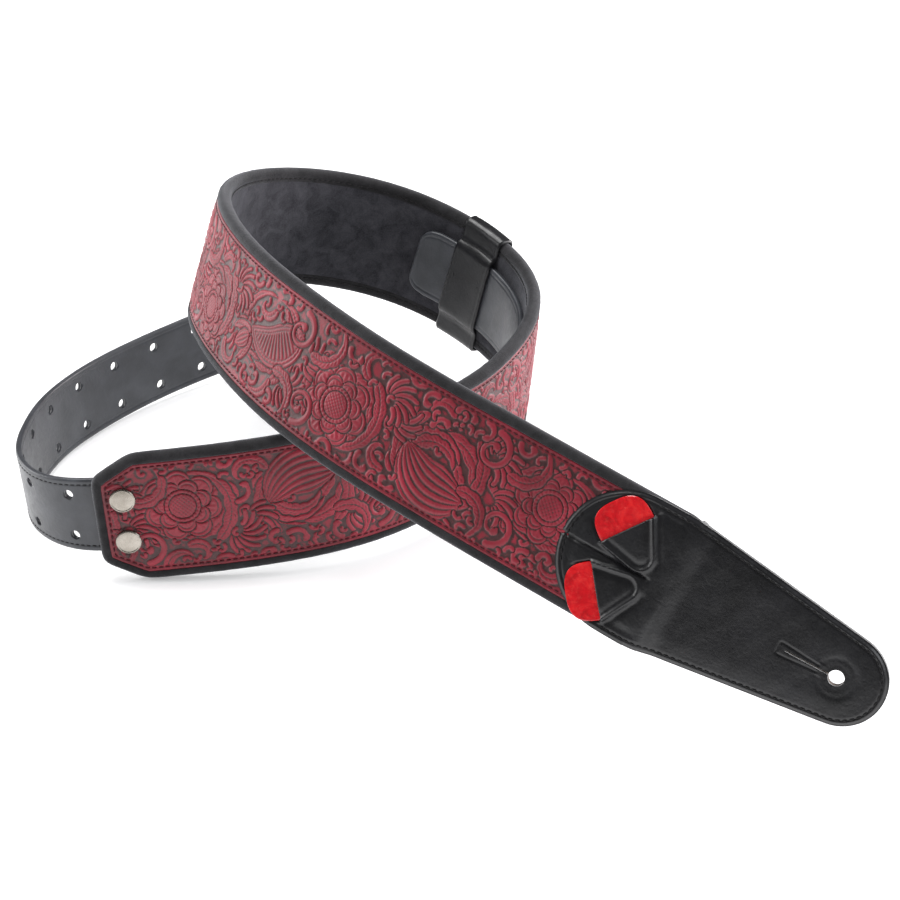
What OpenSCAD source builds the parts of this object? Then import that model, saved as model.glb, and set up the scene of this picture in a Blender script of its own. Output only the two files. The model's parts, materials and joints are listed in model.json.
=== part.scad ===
// Padded guitar strap with a tooled leather face, standing on its edge in a loose coil.
// Millimetres, +Z up, floor at z = 0, origin under the middle of the coil.
//
// Places on the strap are given as [u, b, n]: u runs along the band from the flex line
// where the padding ends, b runs across it with the upper edge positive, and n stands
// off the middle of the band, positive on the leather face. The button tab has u < 0.

/* [Band] */
// Width of the padded band
band_w = 70; // [66:1:74]
// Length of the band from the flex line to its far end
band_len = 937; // [934:1:940]
// Length of the slanted corners at the far end
corner_len = 21; // [10:1:25]
// Width left between the slanted corners
end_w = 46; // [44:1:60]

/* [Layers] */
// Thickness of the tooled leather face
face_t = 1.2; // [0.8:0.1:1.4]
// Thickness of the foam core
foam_t = 3.1; // [2:0.1:3.3]
// Thickness of the woven load webbing
webbing_t = 1.1; // [0.8:0.1:1.3]
// Thickness of the suede lining
lining_t = 1.1; // [0.8:0.1:1.3]
// Glue line between neighbouring layers
glue_t = 0.2; // [0.15:0.05:0.3]

/* [Edge binding] */
// Width of the binding on the leather face
lip_face = 4.8; // [4.6:0.1:6]
// Width of the binding on the lining
lip_back = 7; // [5:0.5:9]
// Width of binding outside the foam
rim_solid = 3.5; // [3:0.5:4.5]

/* [Button tab] */
// Distance from the flex line to the strap button hole
tab_len = 85; // [75:1:95]
// Radius of the rounded tip
tip_r = 22; // [18:1:26]
// Distance from the strap button hole to the middle of the rounded tip
tip_shift = 2; // [0:0.5:4]
// Thickness of the tab's leather
tab_leather_t = 2; // [1.5:0.1:2.2]
// Thickness of the tab's stiffener
tab_stiffener_t = 1.6; // [1:0.1:1.8]
// Thickness of the tab's lining
tab_lining_t = 1.3; // [1:0.1:1.5]
// Diameter of the strap button holes
button_d = 7.8; // [7:0.1:9]
// Length of the slit from the strap button hole towards the band
slit_len = 26; // [15:1:30]
// Width of the slit
slit_w = 1.2; // [0.8:0.1:1.6]

/* [Plectrum pockets] */
// Radius of the panel's rounded end
panel_r = 34.8; // [33:0.1:34.8]
// Distance from the flex line to the middle of the rounded end
panel_u = 22.5; // [21:0.5:25]
// Thickness of the pocket panel
panel_t = 1.6; // [1.4:0.1:2]
// Width of a plectrum
pick_w = 28; // [26:0.5:29]
// Length of a plectrum
pick_len = 34.5; // [33:0.5:35]
// Thickness of a plectrum
pick_t = 0.9; // [0.7:0.1:1]
// Angle of each plectrum to the band
pick_angle = 36.5; // [34:0.5:40]
// Slope at which each plectrum leaves its pocket
pick_slope = 4; // [3:0.5:5]
// Depth of a seated plectrum behind the mouth of its pocket
pick_seat = 20; // [18:0.5:22]
// Thickness of the leather over a seated plectrum
cover_t = 0.9; // [0.8:0.1:1]
// Shift of the pair of pockets across the band
pocket_shift = -1.5; // [-2:0.5:0]

/* [Adjuster] */
// Width of the perforated adjuster strap
adjuster_w = 40; // [38:1:42]
// Thickness of each of its two leather layers
adjuster_t = 1.4; // [1.2:0.1:1.5]
// Length of the adjuster past the studs
adjuster_out = 308; // [300:4:308]
// Place of the free tail of the adjuster along the band
tail_u = 530; // [520:1:536]
// Distance between neighbouring holes along the adjuster
hole_pitch = 28; // [26:1:30]
// Distance between the two rows of holes
row_gap = 23; // [22:0.5:24]
// Diameter of the adjuster's holes
hole_d = 5.2; // [5:0.1:6]
// Distance from the adjuster's end to its strap button hole
end_inset = 19; // [17:1:20]
// Number of hole pairs past the studs
holes_out = 9; // [4:1:9]
// Number of hole pairs in the part along the lining
holes_in = 5; // [2:1:5]

/* [Studs] */
// Distance from the far end of the band to the studs
stud_inset = 15; // [14.5:0.5:17]
// Diameter of a stud cap
cap_d = 13; // [12:0.5:16]
// Height of a stud cap
cap_t = 1.8; // [1.2:0.1:2.5]
// Outside diameter of the stud's barrel
barrel_d = 4.6; // [4.2:0.1:4.8]
// Diameter of the screw's shank
screw_d = 2.8; // [2.4:0.1:3]

/* [Keeper] */
// Place of the keeper's middle along the band
keeper_u = 570; // [566:1:574]
// Width of the keeper
keeper_w = 30; // [24:1:32]
// Thickness of the keeper's leather
keeper_t = 1.6; // [1.2:0.1:1.8]
// Play of the keeper in thickness
keeper_play = 0.9; // [0.6:0.1:0.9]

/* [Seams] */
// Thickness of the sewing thread
thread_t = 0.7; // [0.5:0.1:0.8]
// Distance from the rim to the seam on the leather face
face_seam = 7.8; // [7.5:0.1:9]
// Distance from the rim to the seam on the lining
lining_seam = 5; // [4:0.5:6]

/* [Coil] */
// Flex line: x, y and z of the middle of the band
coil_at = [115.3, -147, 57.9];
// Flex line: heading of the band, its climb, and how far the face leans up (degrees)
coil_facing = [152, 16.5, 26];
// Distance between the places where the bend and roll of the band are set
coil_step = 65; // [64:1:66]
// First such place, counted from the flex line
coil_first = 50; // [48:1:52]
// Bend to the right and roll of the band at these places (degrees per 100 mm)
band_course = [
    [0, 0], [5, -3], [31, 0], [24, -12],       // up to the left of the coil
    [24, -2], [64, -6], [54, 5],               // round the left
    [78, 9.5], [51.5, 8], [71.5, 15.5],        // behind the coil
    [28.5, -0.5], [41.5, 18.5],                // round the right
    [30, 0], [9, -1], [-22, 6.5]               // back under the front to the far end
];
// Bend and roll of the free adjuster, every fourth station from the studs
adjuster_course = [
    [26, 17], [147, -23], [97, 4], [88, 8], [26, -9], [58, -1],
    [40, -5], [28, 5], [18, 3], [16, -7], [13, -3], [11, -1]
];
// Rest bend and roll of the button tab at the flex line (degrees)
tab_set = [4, 2];

/* [Hidden] */
grid = 8;                   // spacing of the band's stations
adjuster_grid = 7;          // spacing of the free adjuster's stations
half_w = band_w / 2;
stud_u = band_len - stud_inset;

// Heights of the layers over the middle of the band
foam_top = webbing_t + glue_t - (foam_t + webbing_t + glue_t) / 2 + foam_t;
foam_low = foam_top - foam_t;
face_low = foam_top + glue_t;
face_top = face_low + face_t;
webbing_top = foam_low - glue_t;
webbing_low = webbing_top - webbing_t;
lining_top = webbing_low - glue_t;
lining_low = lining_top - lining_t;
rim_t = min(face_top, -lining_low);         // half the thickness of the binding
rim_slot = 2.35;                            // half the height of the binding's groove

adjuster_gap = 0.6;                         // between the lining and the adjuster
adjuster_top = lining_low - adjuster_gap;
adjuster_mid = adjuster_top - adjuster_t - glue_t / 2;
adjuster_low = adjuster_mid - glue_t / 2 - adjuster_t;

flex_gap = 1.2;                             // clear of the flex line on both sides
tab_t = tab_leather_t + tab_stiffener_t + tab_lining_t + 2 * tab_glue();
tab_top = tab_t / 2;
function tab_glue() = 0.05;

// ---- Course of the band -------------------------------------------------------------
// A frame is [place, along, outward, across]: the unit vectors of u, n and b.

function facing(heading, climb, lean) =
    let (along = [cos(heading) * cos(climb), sin(heading) * cos(climb), sin(climb)],
         level = [-sin(heading), cos(heading), 0],
         rise = cross(along, level))
    [along, level * cos(lean) + rise * sin(lean), rise * cos(lean) - level * sin(lean)];

function bent(f, a) = [f[0] * cos(a) - f[1] * sin(a), f[1] * cos(a) + f[0] * sin(a), f[2]];
function rolled(f, a) = [f[0], f[1] * cos(a) + f[2] * sin(a), f[2] * cos(a) - f[1] * sin(a)];

// One station further on: half the turn, a straight step, the other half
function stepped(g, turn, step) =
    let (half = turn * step / 200,
         mid = rolled(bent([g[1], g[2], g[3]], half[0]), half[1]),
         last = rolled(bent(mid, half[0]), half[1]))
    concat([g[0] + mid[0] * step], last);

function turn_at(course, first, step, at) = [
    lookup(at, [for (i = [0 : len(course) - 1]) [first + step * i, course[i][0]]]),
    lookup(at, [for (i = [0 : len(course) - 1]) [first + step * i, course[i][1]]])
];

function stations(g0, course, first, every, step, count) = [
    for (i = 0, g = g0; i <= count;
         g = stepped(g, turn_at(course, first, every, (i + 0.5) * step), step), i = i + 1) g
];

band_start = concat([coil_at], facing(coil_facing[0], coil_facing[1], coil_facing[2]));
band_stations = stations(band_start, band_course, coil_first, coil_step, grid,
                         ceil(band_len / grid) + 1);

function mix(a, b, t) = a * (1 - t) + b * t;
function frame_on(list, step, at) =
    let (i = max(0, min(len(list) - 2, floor(at / step))), t = at / step - i)
    [for (k = [0 : 3]) mix(list[i][k], list[i + 1][k], t)];
function band_frame(u) = frame_on(band_stations, grid, u);
function point_on(g, b, n) = g[0] + g[3] * b + g[2] * n;

// Where the free adjuster leaves the studs, and its own stations
stud_frame = band_frame(stud_u);
adjuster_start = [point_on(stud_frame, 0, adjuster_mid), stud_frame[1], stud_frame[2],
                  stud_frame[3]];
free_stations = stations(adjuster_start, adjuster_course, 0, 4 * adjuster_grid,
                         adjuster_grid, adjuster_out / adjuster_grid);

// ---- Lofts --------------------------------------------------------------------------

// Sides of a loft. Both diagonals lean the same way in [u, b] on both faces of a sheet,
// so that stacked sheets twist alike.
function side(i, j, m, rising) =
    let (a = i * m + j, b = i * m + (j + 1) % m, c = a + m, d = b + m)
    rising ? [[a, b, d], [a, d, c]] : [[a, b, c], [b, d, c]];

module loft(rings, rising = [true, false, false, false]) {
    m = len(rings[0]);
    count = len(rings);
    polyhedron(
        points = [for (r = rings) each r],
        faces = concat(
            [[for (j = [m - 1 : -1 : 0]) j]],
            [for (i = [0 : count - 2], j = [0 : m - 1]) each side(i, j, m, rising[j])],
            [[for (j = [0 : m - 1]) (count - 1) * m + j]]
        ),
        convexity = 10
    );
}

// Stations of the band between two places, both ends included
function places(from, to, extra = []) =
    let (inner = [for (i = [0 : len(band_stations) - 1])
                  if (i * grid > from + 0.5 && i * grid < to - 0.5) i * grid])
    merge(concat([from], inner, [to]), extra);
function merge(list, extra) = len(extra) == 0 ? list :
    merge(concat([for (v = list) if (v < extra[0] - 0.5) v], [extra[0]],
                 [for (v = list) if (v > extra[0] + 0.5) v]),
          [for (k = [1 : 1 : len(extra) - 1]) extra[k]]);

// A flat layer of the band, half as wide as width(u), between two heights
module band_sheet(from, to, inset, low, top) {
    corner = band_len - corner_len - inset * tan(atan(slope) / 2);
    loft([for (u = places(from, to, [corner])) let (g = band_frame(u), w = half_at(u, inset))
        [point_on(g, -w, low), point_on(g, w, low), point_on(g, w, top), point_on(g, -w, top)]]);
}

// Half the width of the band's outline moved inwards by inset
slope = (band_w - end_w) / 2 / corner_len;
function half_at(u, inset) = min(
    half_w - inset,
    half_w - (u - band_len + corner_len) * slope - inset * sqrt(1 + slope * slope));

// ---- Rims and seams -----------------------------------------------------------------

// The rim of the band as [u, b, du, db]: a point on it and the mitred way inwards
function unit(v) = v / norm(v);
function mitre(a, b) = (a + b) / (1 + a * b);
corner_in = unit([-(band_w - end_w) / 2, -corner_len]);
mitre_room = 5;                             // no stations this close to a corner
function mirrored(v) = [v[0], -v[1]];
function upper_rim(from) = concat(
    [for (u = places(from, band_len - corner_len - mitre_room)) [[u, half_w], [0, -1]]],
    [[[band_len - corner_len, half_w], mitre([0, -1], corner_in)]],
    [for (u = places(band_len - corner_len, band_len))
        if (u > band_len - corner_len + mitre_room && u < band_len - mitre_room)
            [[u, half_w - (u - band_len + corner_len) * slope], corner_in]],
    [[[band_len, end_w / 2], mitre(corner_in, [-1, 0])]]
);
function whole_rim(from) =
    let (upper = upper_rim(from), last = len(upper) - 1)
    concat(upper, [for (i = [last : -1 : 0]) [mirrored(upper[i][0]), mirrored(upper[i][1])]]);

// A profile of [inwards, height] swept along the rim
module rim_sweep(from, profile) {
    loft([for (r = whole_rim(from)) [for (q = profile)
            let (at = r[0] + r[1] * q[0]) point_on(band_frame(at[0]), at[1], q[1])]],
         [for (q = profile) true]);
}

function thread_profile(inset, low) = [
    [inset - thread_t / 2, low], [inset + thread_t / 2, low],
    [inset + thread_t / 2, low + thread_t / 2], [inset - thread_t / 2, low + thread_t / 2]
];

// ---- Button tab ---------------------------------------------------------------------

tab_frame = bent(rolled([band_start[1], band_start[2], band_start[3]], -tab_set[1]),
                 -tab_set[0]);

// Children drawn flat in [u, b] become a plate between two heights
module plate(low, top) {
    rotate([90, 0, 0]) translate([0, 0, -top]) linear_extrude(top - low) children();
}
// Children with x along, y outward and z across are placed on a frame
module placed(p, f) {
    multmatrix([
        [f[0][0], f[1][0], f[2][0], p[0]],
        [f[0][1], f[1][1], f[2][1], p[1]],
        [f[0][2], f[1][2], f[2][2], p[2]]
    ]) children();
}
module on_tab() placed(coil_at, tab_frame) children();
module on_band_start() placed(coil_at, [band_start[1], band_start[2], band_start[3]]) children();

// Outline of the tab, moved inwards by inset: the tip's arc and its two tangents
tip_u = -tab_len - tip_shift;
function tab_outline(inset) =
    let (r = tip_r - inset,
         reach = norm([tip_u, half_w - inset]),
         open = atan2(half_w - inset, -tip_u) + acos(r / reach),
         steps = 24)
    concat(
        [for (i = [0 : steps]) let (a = open + (360 - 2 * open) * i / steps)
            [tip_u + r * cos(a), r * sin(a)]],
        [[0, -half_w + inset], [0, half_w - inset]]);

module tab_shape(inset = 0) {
    intersection() {
        polygon(tab_outline(inset));
        translate([-2 * tab_len, -band_w]) square([2 * tab_len - flex_gap, 2 * band_w]);
    }
}

module button_opening(low, top) {
    rotate([90, 0, 0]) translate([0, 0, -top]) cylinder(h = top - low, d = button_d, $fn = 64);
    translate([0, low, -slit_w / 2]) cube([slit_len, top - low, slit_w]);
}

module tab_layer(low, top, inset = 0) {
    on_tab() difference() {
        plate(low, top) tab_shape(inset);
        translate([-tab_len, 0, 0]) button_opening(low - 1, top + 1);
    }
}

tab_lining_top = -tab_top + tab_lining_t;
tab_stiffener_low = tab_lining_top + tab_glue();
tab_stiffener_top = tab_stiffener_low + tab_stiffener_t;
tab_leather_low = tab_stiffener_top + tab_glue();

module tab_leather() {
    groove = 0.5;                           // depth of the pressed line round the slit
    edge = 1.1;                             // rounding of the padded edge
    color([0.10, 0.10, 0.11]) on_tab() difference() {
        hull() {
            plate(tab_leather_low, tab_top - edge) tab_shape();
            plate(tab_top - edge, tab_top) tab_shape(edge);
        }
        translate([-tab_len, 0, 0]) {
            button_opening(tab_leather_low - 1, tab_top + 1);
            plate(tab_top - groove, tab_top + 1) slit_frame();
        }
    }
}

// Pressed line round the slit, wider at its far end
module slit_frame() {
    line = 0.8;
    difference() {
        slit_outline(line);
        slit_outline(0);
    }
}
module slit_outline(grow) {
    near = button_d / 2 + 1;
    polygon([[near - grow, -1.6 - grow], [slit_len + 3 + grow, -2.8 - grow],
             [slit_len + 3 + grow, 2.8 + grow], [near - grow, 1.6 + grow]]);
}

module tab_stiffener() {
    color([0.45, 0.36, 0.26])
        tab_layer(tab_stiffener_low, tab_stiffener_top, 1.5);
}

module tab_lining() {
    color([0.13, 0.13, 0.14]) tab_layer(-tab_top, tab_lining_top);
}

module tab_seam_thread() {
    inset = 4;
    color([0.18, 0.18, 0.19]) on_tab() plate(tab_top + 0.05, tab_top + thread_t / 2) difference() {
        tab_shape(inset - thread_t / 2);
        polygon([for (q = tab_outline(inset + thread_t / 2)) [q[0] == 0 ? 1 : q[0], q[1]]]);
        translate([-flex_gap - 1, -band_w]) square([2, 2 * band_w]);
    }
}

// ---- Plectrum pockets ---------------------------------------------------------------

panel_low = foam_top + glue_t + 0.6;
panel_top = face_top + panel_t;
panel_end = panel_u + panel_r;
face_from = panel_end - 17;                 // the leather face starts under the panel

// The mouth of each pocket, where the plectrum comes out, from the middle of the pair
mouth = [30, 16.5];
mouth_sink = 0.7;                           // depth of a plectrum's lower side there
pick_play = 0.35;

// Outline of a plectrum, its tip at x = 0 and its back at x = pick_len
module pick_shape(grow = 0) {
    tip = 3.5;
    shoulder = 8;
    back = 20;
    offset(r = grow) hull() {
        translate([tip, 0]) circle(r = tip, $fn = 24);
        for (s = [-1, 1]) {
            translate([pick_len * 0.56, s * (pick_w / 2 - tip)]) circle(r = tip, $fn = 24);
            translate([pick_len - shoulder - 0.8, s * (pick_w / 2 - shoulder)])
                circle(r = shoulder, $fn = 32);
        }
        intersection() {
            translate([pick_len - back, 0]) circle(r = back, $fn = 96);
            translate([pick_len - 3, -shoulder]) square([3, 2 * shoulder]);
        }
    }
}

// Children with x out of the pocket, y across the plectrum and z off its lower side
module in_pocket(s) {
    on_band_start() translate([mouth[0], panel_top - mouth_sink, s * mouth[1] + pocket_shift])
        rotate([0, -s * pick_angle, 0]) rotate([0, 0, pick_slope]) rotate([-90, 0, 0])
            children();
}
// Children drawn flat in [x, y] of a pocket, laid on the band in [u, b]
module beside_mouth(s) {
    translate([mouth[0], s * mouth[1] + pocket_shift]) rotate(s * pick_angle) children();
}

module pick(s) {
    color([0.80, 0.06, 0.07]) in_pocket(s) translate([-pick_seat, 0, 0])
        linear_extrude(pick_t) pick_shape();
}
module pick_upper() pick(1);
module pick_lower() pick(-1);

// Room for a plectrum on its whole way out
module pick_room(s) {
    in_pocket(s) translate([-pick_seat, 0, -pick_play])
        linear_extrude(pick_t + 2 * pick_play) hull() {
            pick_shape(pick_play);
            translate([pick_seat + 4, 0]) pick_shape(pick_play);
        }
}

// Raised cover over the tip of a seated plectrum
module pick_cover(s) {
    rim = 2.5;
    lip = 2;
    hull() {
        on_band_start() plate(panel_low + 1, panel_top) beside_mouth(s) hull() {
            translate([4 - pick_seat, 0]) circle(r = 4 + rim, $fn = 24);
            translate([-lip, -pick_w / 2 - rim]) square([lip, pick_w + 2 * rim]);
        }
        in_pocket(s) translate([-lip, -pick_w / 2, pick_t])
            cube([lip, pick_w, pick_play + cover_t]);
    }
}

module panel_shape(inset = 0) {
    intersection() {
        translate([flex_gap + inset / 2, -half_w + inset])
            square([panel_end, band_w - 2 * inset]);
        union() {
            translate([panel_u, 0]) circle(r = panel_r - inset, $fn = 96);
            translate([0, -half_w + inset]) square([panel_u, band_w - 2 * inset]);
        }
    }
}

module pocket_panel() {
    edge = 0.6;
    groove = 0.5;
    color([0.11, 0.11, 0.12]) difference() {
        union() {
            on_band_start() hull() {
                plate(panel_low, panel_top - edge) panel_shape();
                plate(panel_top - edge, panel_top) panel_shape(edge);
            }
            for (s = [-1, 1]) pick_cover(s);
        }
        for (s = [-1, 1]) pick_room(s);
        on_band_start() {
            // pressed line between the two pockets
            plate(panel_top - groove, panel_top + 3) translate([12, pocket_shift - groove])
                square([band_w, 2 * groove]);
            // clear of the leather face, and of the binding
            plate(panel_low - 1, face_top + glue_t)
                translate([face_from - 1.5, -band_w]) square([band_w, 2 * band_w]);
            plate(panel_low - 1, rim_t + glue_t) difference() {
                translate([-1, -band_w]) square([2 * band_w, 2 * band_w]);
                translate([-2, -half_w + lip_face + 0.6])
                    square([2 * band_w, band_w - 2 * lip_face - 1.2]);
            }
        }
    }
}

module pocket_backing() {
    low = foam_top + glue_t / 2;
    color([0.16, 0.15, 0.15]) on_band_start() plate(low, low + 0.5)
        translate([flex_gap + 1, -half_w + lip_face + 0.4])
            square([face_from - flex_gap - 3, band_w - 2 * lip_face - 0.8]);
}

module pocket_seam_thread() {
    inset = 2.6;
    color([0.20, 0.20, 0.21]) on_band_start()
        plate(panel_top + 0.05, panel_top + thread_t / 2) difference() {
            panel_shape(inset - thread_t / 2);
            translate([-flex_gap, 0]) offset(delta = -thread_t) panel_shape(inset - thread_t / 2);
            translate([-1, -band_w]) square([flex_gap + 5, 2 * band_w]);
            for (s = [-1, 1]) seam_break(s);
        }
}
// The seam stops where a plectrum lies over it
module seam_break(s) {
    beside_mouth(s) translate([-2, -pick_w / 2 - 1]) square([45, pick_w + 2]);
}

// ---- Band ---------------------------------------------------------------------------

module stud_holes(d) {
    placed(stud_frame[0], [stud_frame[1], stud_frame[2], stud_frame[3]])
        for (s = [-1, 1]) translate([0, 0, s * row_gap / 2]) rotate([90, 0, 0])
            cylinder(h = 30, d = d, center = true, $fn = 48);
}

module front_leather() {
    inset = lip_face + glue_t;
    color([0.48, 0.05, 0.10]) difference() {
        band_sheet(face_from, band_len - inset, inset, face_low, face_top);
        stud_holes(hole_d);
    }
}

module foam_core() {
    inset = rim_solid + glue_t;
    color([0.32, 0.32, 0.33]) difference() {
        band_sheet(flex_gap, band_len - inset, inset, foam_low, foam_top);
        stud_holes(hole_d);
    }
}

module load_webbing() {
    inset = rim_solid + glue_t;
    color([0.20, 0.20, 0.20]) difference() {
        band_sheet(flex_gap, band_len - inset, inset, webbing_low, webbing_top);
        stud_holes(hole_d);
    }
}

module back_lining() {
    inset = lip_back + glue_t;
    color([0.08, 0.08, 0.09]) difference() {
        band_sheet(flex_gap, band_len - inset, inset, lining_low, lining_top);
        stud_holes(hole_d);
    }
}

module edge_binding() {
    bevel = 1.2;
    color([0.06, 0.06, 0.07]) rim_sweep(flex_gap, [
        [lip_face, rim_t], [2 * bevel, rim_t], [bevel / 2, rim_t - bevel], [0, 0],
        [bevel / 2, bevel - rim_t], [2 * bevel, -rim_t], [lip_back, -rim_t],
        [lip_back, -rim_slot], [rim_solid, -rim_slot], [rim_solid, rim_slot],
        [lip_face, rim_slot]
    ]);
}

module face_seam_thread() {
    color([0.30, 0.03, 0.06]) rim_sweep(panel_end + 1, thread_profile(face_seam, face_top + 0.05));
}

module lining_seam_thread() {
    color([0.14, 0.14, 0.15])
        rim_sweep(flex_gap + 2, thread_profile(lining_seam, -rim_t - 0.05 - thread_t / 2));
}

// ---- Adjuster -----------------------------------------------------------------------

// Stations of the adjuster from its tail along the lining, past the studs, to its end,
// each with the distance that is left to that end of the strap
function on_lining(u) = let (g = band_frame(u)) [point_on(g, 0, adjuster_mid), g[1], g[2], g[3]];
function adjuster_ring(g, w, low, top) = [
    point_on(g, -w, low), point_on(g, w, low), point_on(g, w, top), point_on(g, -w, top)
];
tail_round = 12;
tail_places = places(tail_u, stud_u, [tail_u + tail_round / 3, tail_u + tail_round]);
function tail_half(u) = adjuster_w / 2
    - lookup(u - tail_u, [[0, 7], [tail_round / 3, 2.5], [tail_round, 0]]);
function end_half(v) = adjuster_w / 2
    - lookup(adjuster_out - v, [[0, 8], [adjuster_grid, 2], [2 * adjuster_grid, 0]]);

module adjuster_sheet(low, top, inset = 0) {
    loft(concat(
        [for (u = tail_places) if (u < stud_u - 0.5)
            adjuster_ring(on_lining(u), tail_half(u) - inset, low, top)],
        [for (i = [0 : len(free_stations) - 1])
            adjuster_ring(free_stations[i], end_half(i * adjuster_grid) - inset, low, top)]));
}

// Frames of the hole pairs, and of the button hole at the end
hole_frames = concat(
    [for (i = [1 : holes_in]) on_lining(stud_u - i * hole_pitch)],
    [stud_frame_low()],
    [for (i = [1 : holes_out]) frame_on(free_stations, adjuster_grid, i * hole_pitch)]);
function stud_frame_low() = adjuster_start;
end_frame = frame_on(free_stations, adjuster_grid, adjuster_out - end_inset);

module adjuster_openings() {
    for (g = hole_frames) placed(g[0], [unit(g[1]), unit(g[2]), unit(g[3])])
        for (s = [-1, 1]) translate([0, 0, s * row_gap / 2]) rotate([90, 0, 0])
            rotate(30) cylinder(h = 8, d = hole_d, center = true, $fn = 32);
    placed(end_frame[0], [unit(end_frame[1]), unit(end_frame[2]), unit(end_frame[3])]) {
        rotate([90, 0, 0]) cylinder(h = 8, d = button_d, center = true, $fn = 64);
        translate([-12, -4, -slit_w / 2]) cube([12, 8, slit_w]);
    }
}

module adjuster_face() {
    color([0.17, 0.18, 0.20]) difference() {
        adjuster_sheet(glue_t / 2, glue_t / 2 + adjuster_t);
        adjuster_openings();
    }
}

module adjuster_lining() {
    color([0.20, 0.21, 0.23]) difference() {
        adjuster_sheet(-glue_t / 2 - adjuster_t, -glue_t / 2);
        adjuster_openings();
    }
}

// Seams along both edges of the free adjuster, on its outer side
module adjuster_edge_thread() {
    inset = 3;
    low = glue_t / 2 + adjuster_t + 0.1;
    color([0.12, 0.12, 0.13]) for (s = [-1, 1])
        loft([for (i = [3 : len(free_stations) - 3]) let (g = free_stations[i],
                w = s * (adjuster_w / 2 - inset))
            [point_on(g, w - thread_t / 2, low), point_on(g, w + thread_t / 2, low),
             point_on(g, w + thread_t / 2, low + thread_t / 2),
             point_on(g, w - thread_t / 2, low + thread_t / 2)]]);
}

// ---- Studs --------------------------------------------------------------------------

// Children with z along the stud, off the middle of the band towards the cap
module at_stud(s) {
    placed(stud_frame[0], [unit(stud_frame[1]), unit(stud_frame[2]), unit(stud_frame[3])])
        translate([0, 0, s * row_gap / 2]) rotate([-90, 0, 0]) children();
}

washer_t = 0.6;
washer_top = adjuster_low - 0.45;
barrel_low = washer_top - washer_t + 0.1;
cap_low = face_top + 0.15;

module stud_caps() {
    bevel = 0.5;
    bore = screw_d + 0.3;
    color([0.72, 0.70, 0.64]) for (s = [-1, 1]) at_stud(s) difference() {
        union() {
            translate([0, 0, cap_low]) cylinder(h = cap_t - bevel, d = cap_d, $fn = 64);
            translate([0, 0, cap_low + cap_t - bevel])
                cylinder(h = bevel, d1 = cap_d, d2 = cap_d - 3 * bevel, $fn = 64);
            translate([0, 0, barrel_low])
                cylinder(h = cap_low - barrel_low + 0.1, d = barrel_d, $fn = 48);
        }
        translate([0, 0, barrel_low - 1])
            cylinder(h = cap_low - barrel_low, d = bore, $fn = 48);
    }
}

module stud_washers() {
    color([0.62, 0.62, 0.60]) for (s = [-1, 1]) at_stud(s)
        translate([0, 0, washer_top - washer_t]) difference() {
            cylinder(h = washer_t, d = 12, $fn = 64);
            translate([0, 0, -1]) cylinder(h = washer_t + 2, d = hole_d, $fn = 48);
        }
}

module stud_screw(s) {
    head_t = 1.3;
    head_low = washer_top - washer_t - 0.15 - head_t;
    color([0.66, 0.66, 0.64]) at_stud(s) difference() {
        union() {
            translate([0, 0, head_low]) cylinder(h = head_t, d = 10, $fn = 64);
            translate([0, 0, head_low + head_t - 0.1])
                cylinder(h = cap_low - head_low - head_t - 2.5, d = screw_d, $fn = 48);
        }
        translate([-6, -0.6, head_low - 1]) cube([12, 1.2, 1.5]);
    }
}
module stud_screw_upper() stud_screw(1);
module stud_screw_lower() stud_screw(-1);

// ---- Keeper -------------------------------------------------------------------------

// Section of the keeper: it steps out over the adjuster on the lining side
function keeper_section(grow) =
    let (out = half_w + 1 + grow,
         face = face_top + keeper_play + grow,
         back = -rim_t - keeper_play - grow,
         over = adjuster_low - keeper_play - grow,
         inner = adjuster_w / 2 + 1.2 + grow)
    [[-out, back], [-inner - 3, back], [-inner, over], [inner, over], [inner + 3, back],
     [out, back], [out, face], [-out, face]];

keeper_places = [for (i = [0 : 4]) keeper_u - keeper_w / 2 + keeper_w * i / 4];

function keeper_rings(grow) = [for (u = keeper_places) let (g = band_frame(u))
    [for (q = keeper_section(grow)) point_on(g, q[0], q[1])]];

// A sleeve between two stacks of rings
module sleeve(outer, inner) {
    m = len(outer[0]);
    n = len(outer) - 1;
    size = (n + 1) * m;
    polyhedron(
        points = concat([for (r = outer) each r], [for (r = inner) each r]),
        faces = concat(
            [for (i = [0 : n - 1], j = [0 : m - 1]) each side(i, j, m, true)],
            [for (i = [0 : n - 1], j = [0 : m - 1], t = side(i, j, m, true))
                [t[2] + size, t[1] + size, t[0] + size]],
            [for (j = [0 : m - 1]) let (k = (j + 1) % m) [k, j, size + j, size + k]],
            [for (j = [0 : m - 1]) let (k = (j + 1) % m, far = n * m)
                [far + j, far + k, far + size + k, far + size + j]]
        ),
        convexity = 10
    );
}

module keeper_loop() {
    color([0.13, 0.13, 0.15]) sleeve(keeper_rings(keeper_t), keeper_rings(0));
}

// Bar tack across the keeper's overlap on the face side
module keeper_thread() {
    g = band_frame(keeper_u);
    low = face_top + keeper_play + keeper_t + 0.5;
    color([0.20, 0.20, 0.22]) placed(g[0], [unit(g[1]), unit(g[2]), unit(g[3])])
        for (s = [-1, 1]) translate([-keeper_w / 2 + 4, low, s * 4 - thread_t / 2])
            cube([keeper_w - 8, thread_t / 2, thread_t]);
}

front_leather();
foam_core();
load_webbing();
back_lining();
edge_binding();
face_seam_thread();
lining_seam_thread();
tab_leather();
tab_stiffener();
tab_lining();
tab_seam_thread();
pocket_panel();
pocket_backing();
pocket_seam_thread();
pick_upper();
pick_lower();
stud_caps();
stud_washers();
stud_screw_upper();
stud_screw_lower();
adjuster_face();
adjuster_lining();
adjuster_edge_thread();
keeper_loop();
keeper_thread();
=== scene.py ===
"""Looks of the padded guitar strap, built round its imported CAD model.

Places on the strap are [u, b, n] in millimetres, as in the CAD: u along the band from
the flex line, b across it, n off its middle towards the leather face. Blender is in metres.
"""

import json
import math

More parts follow.
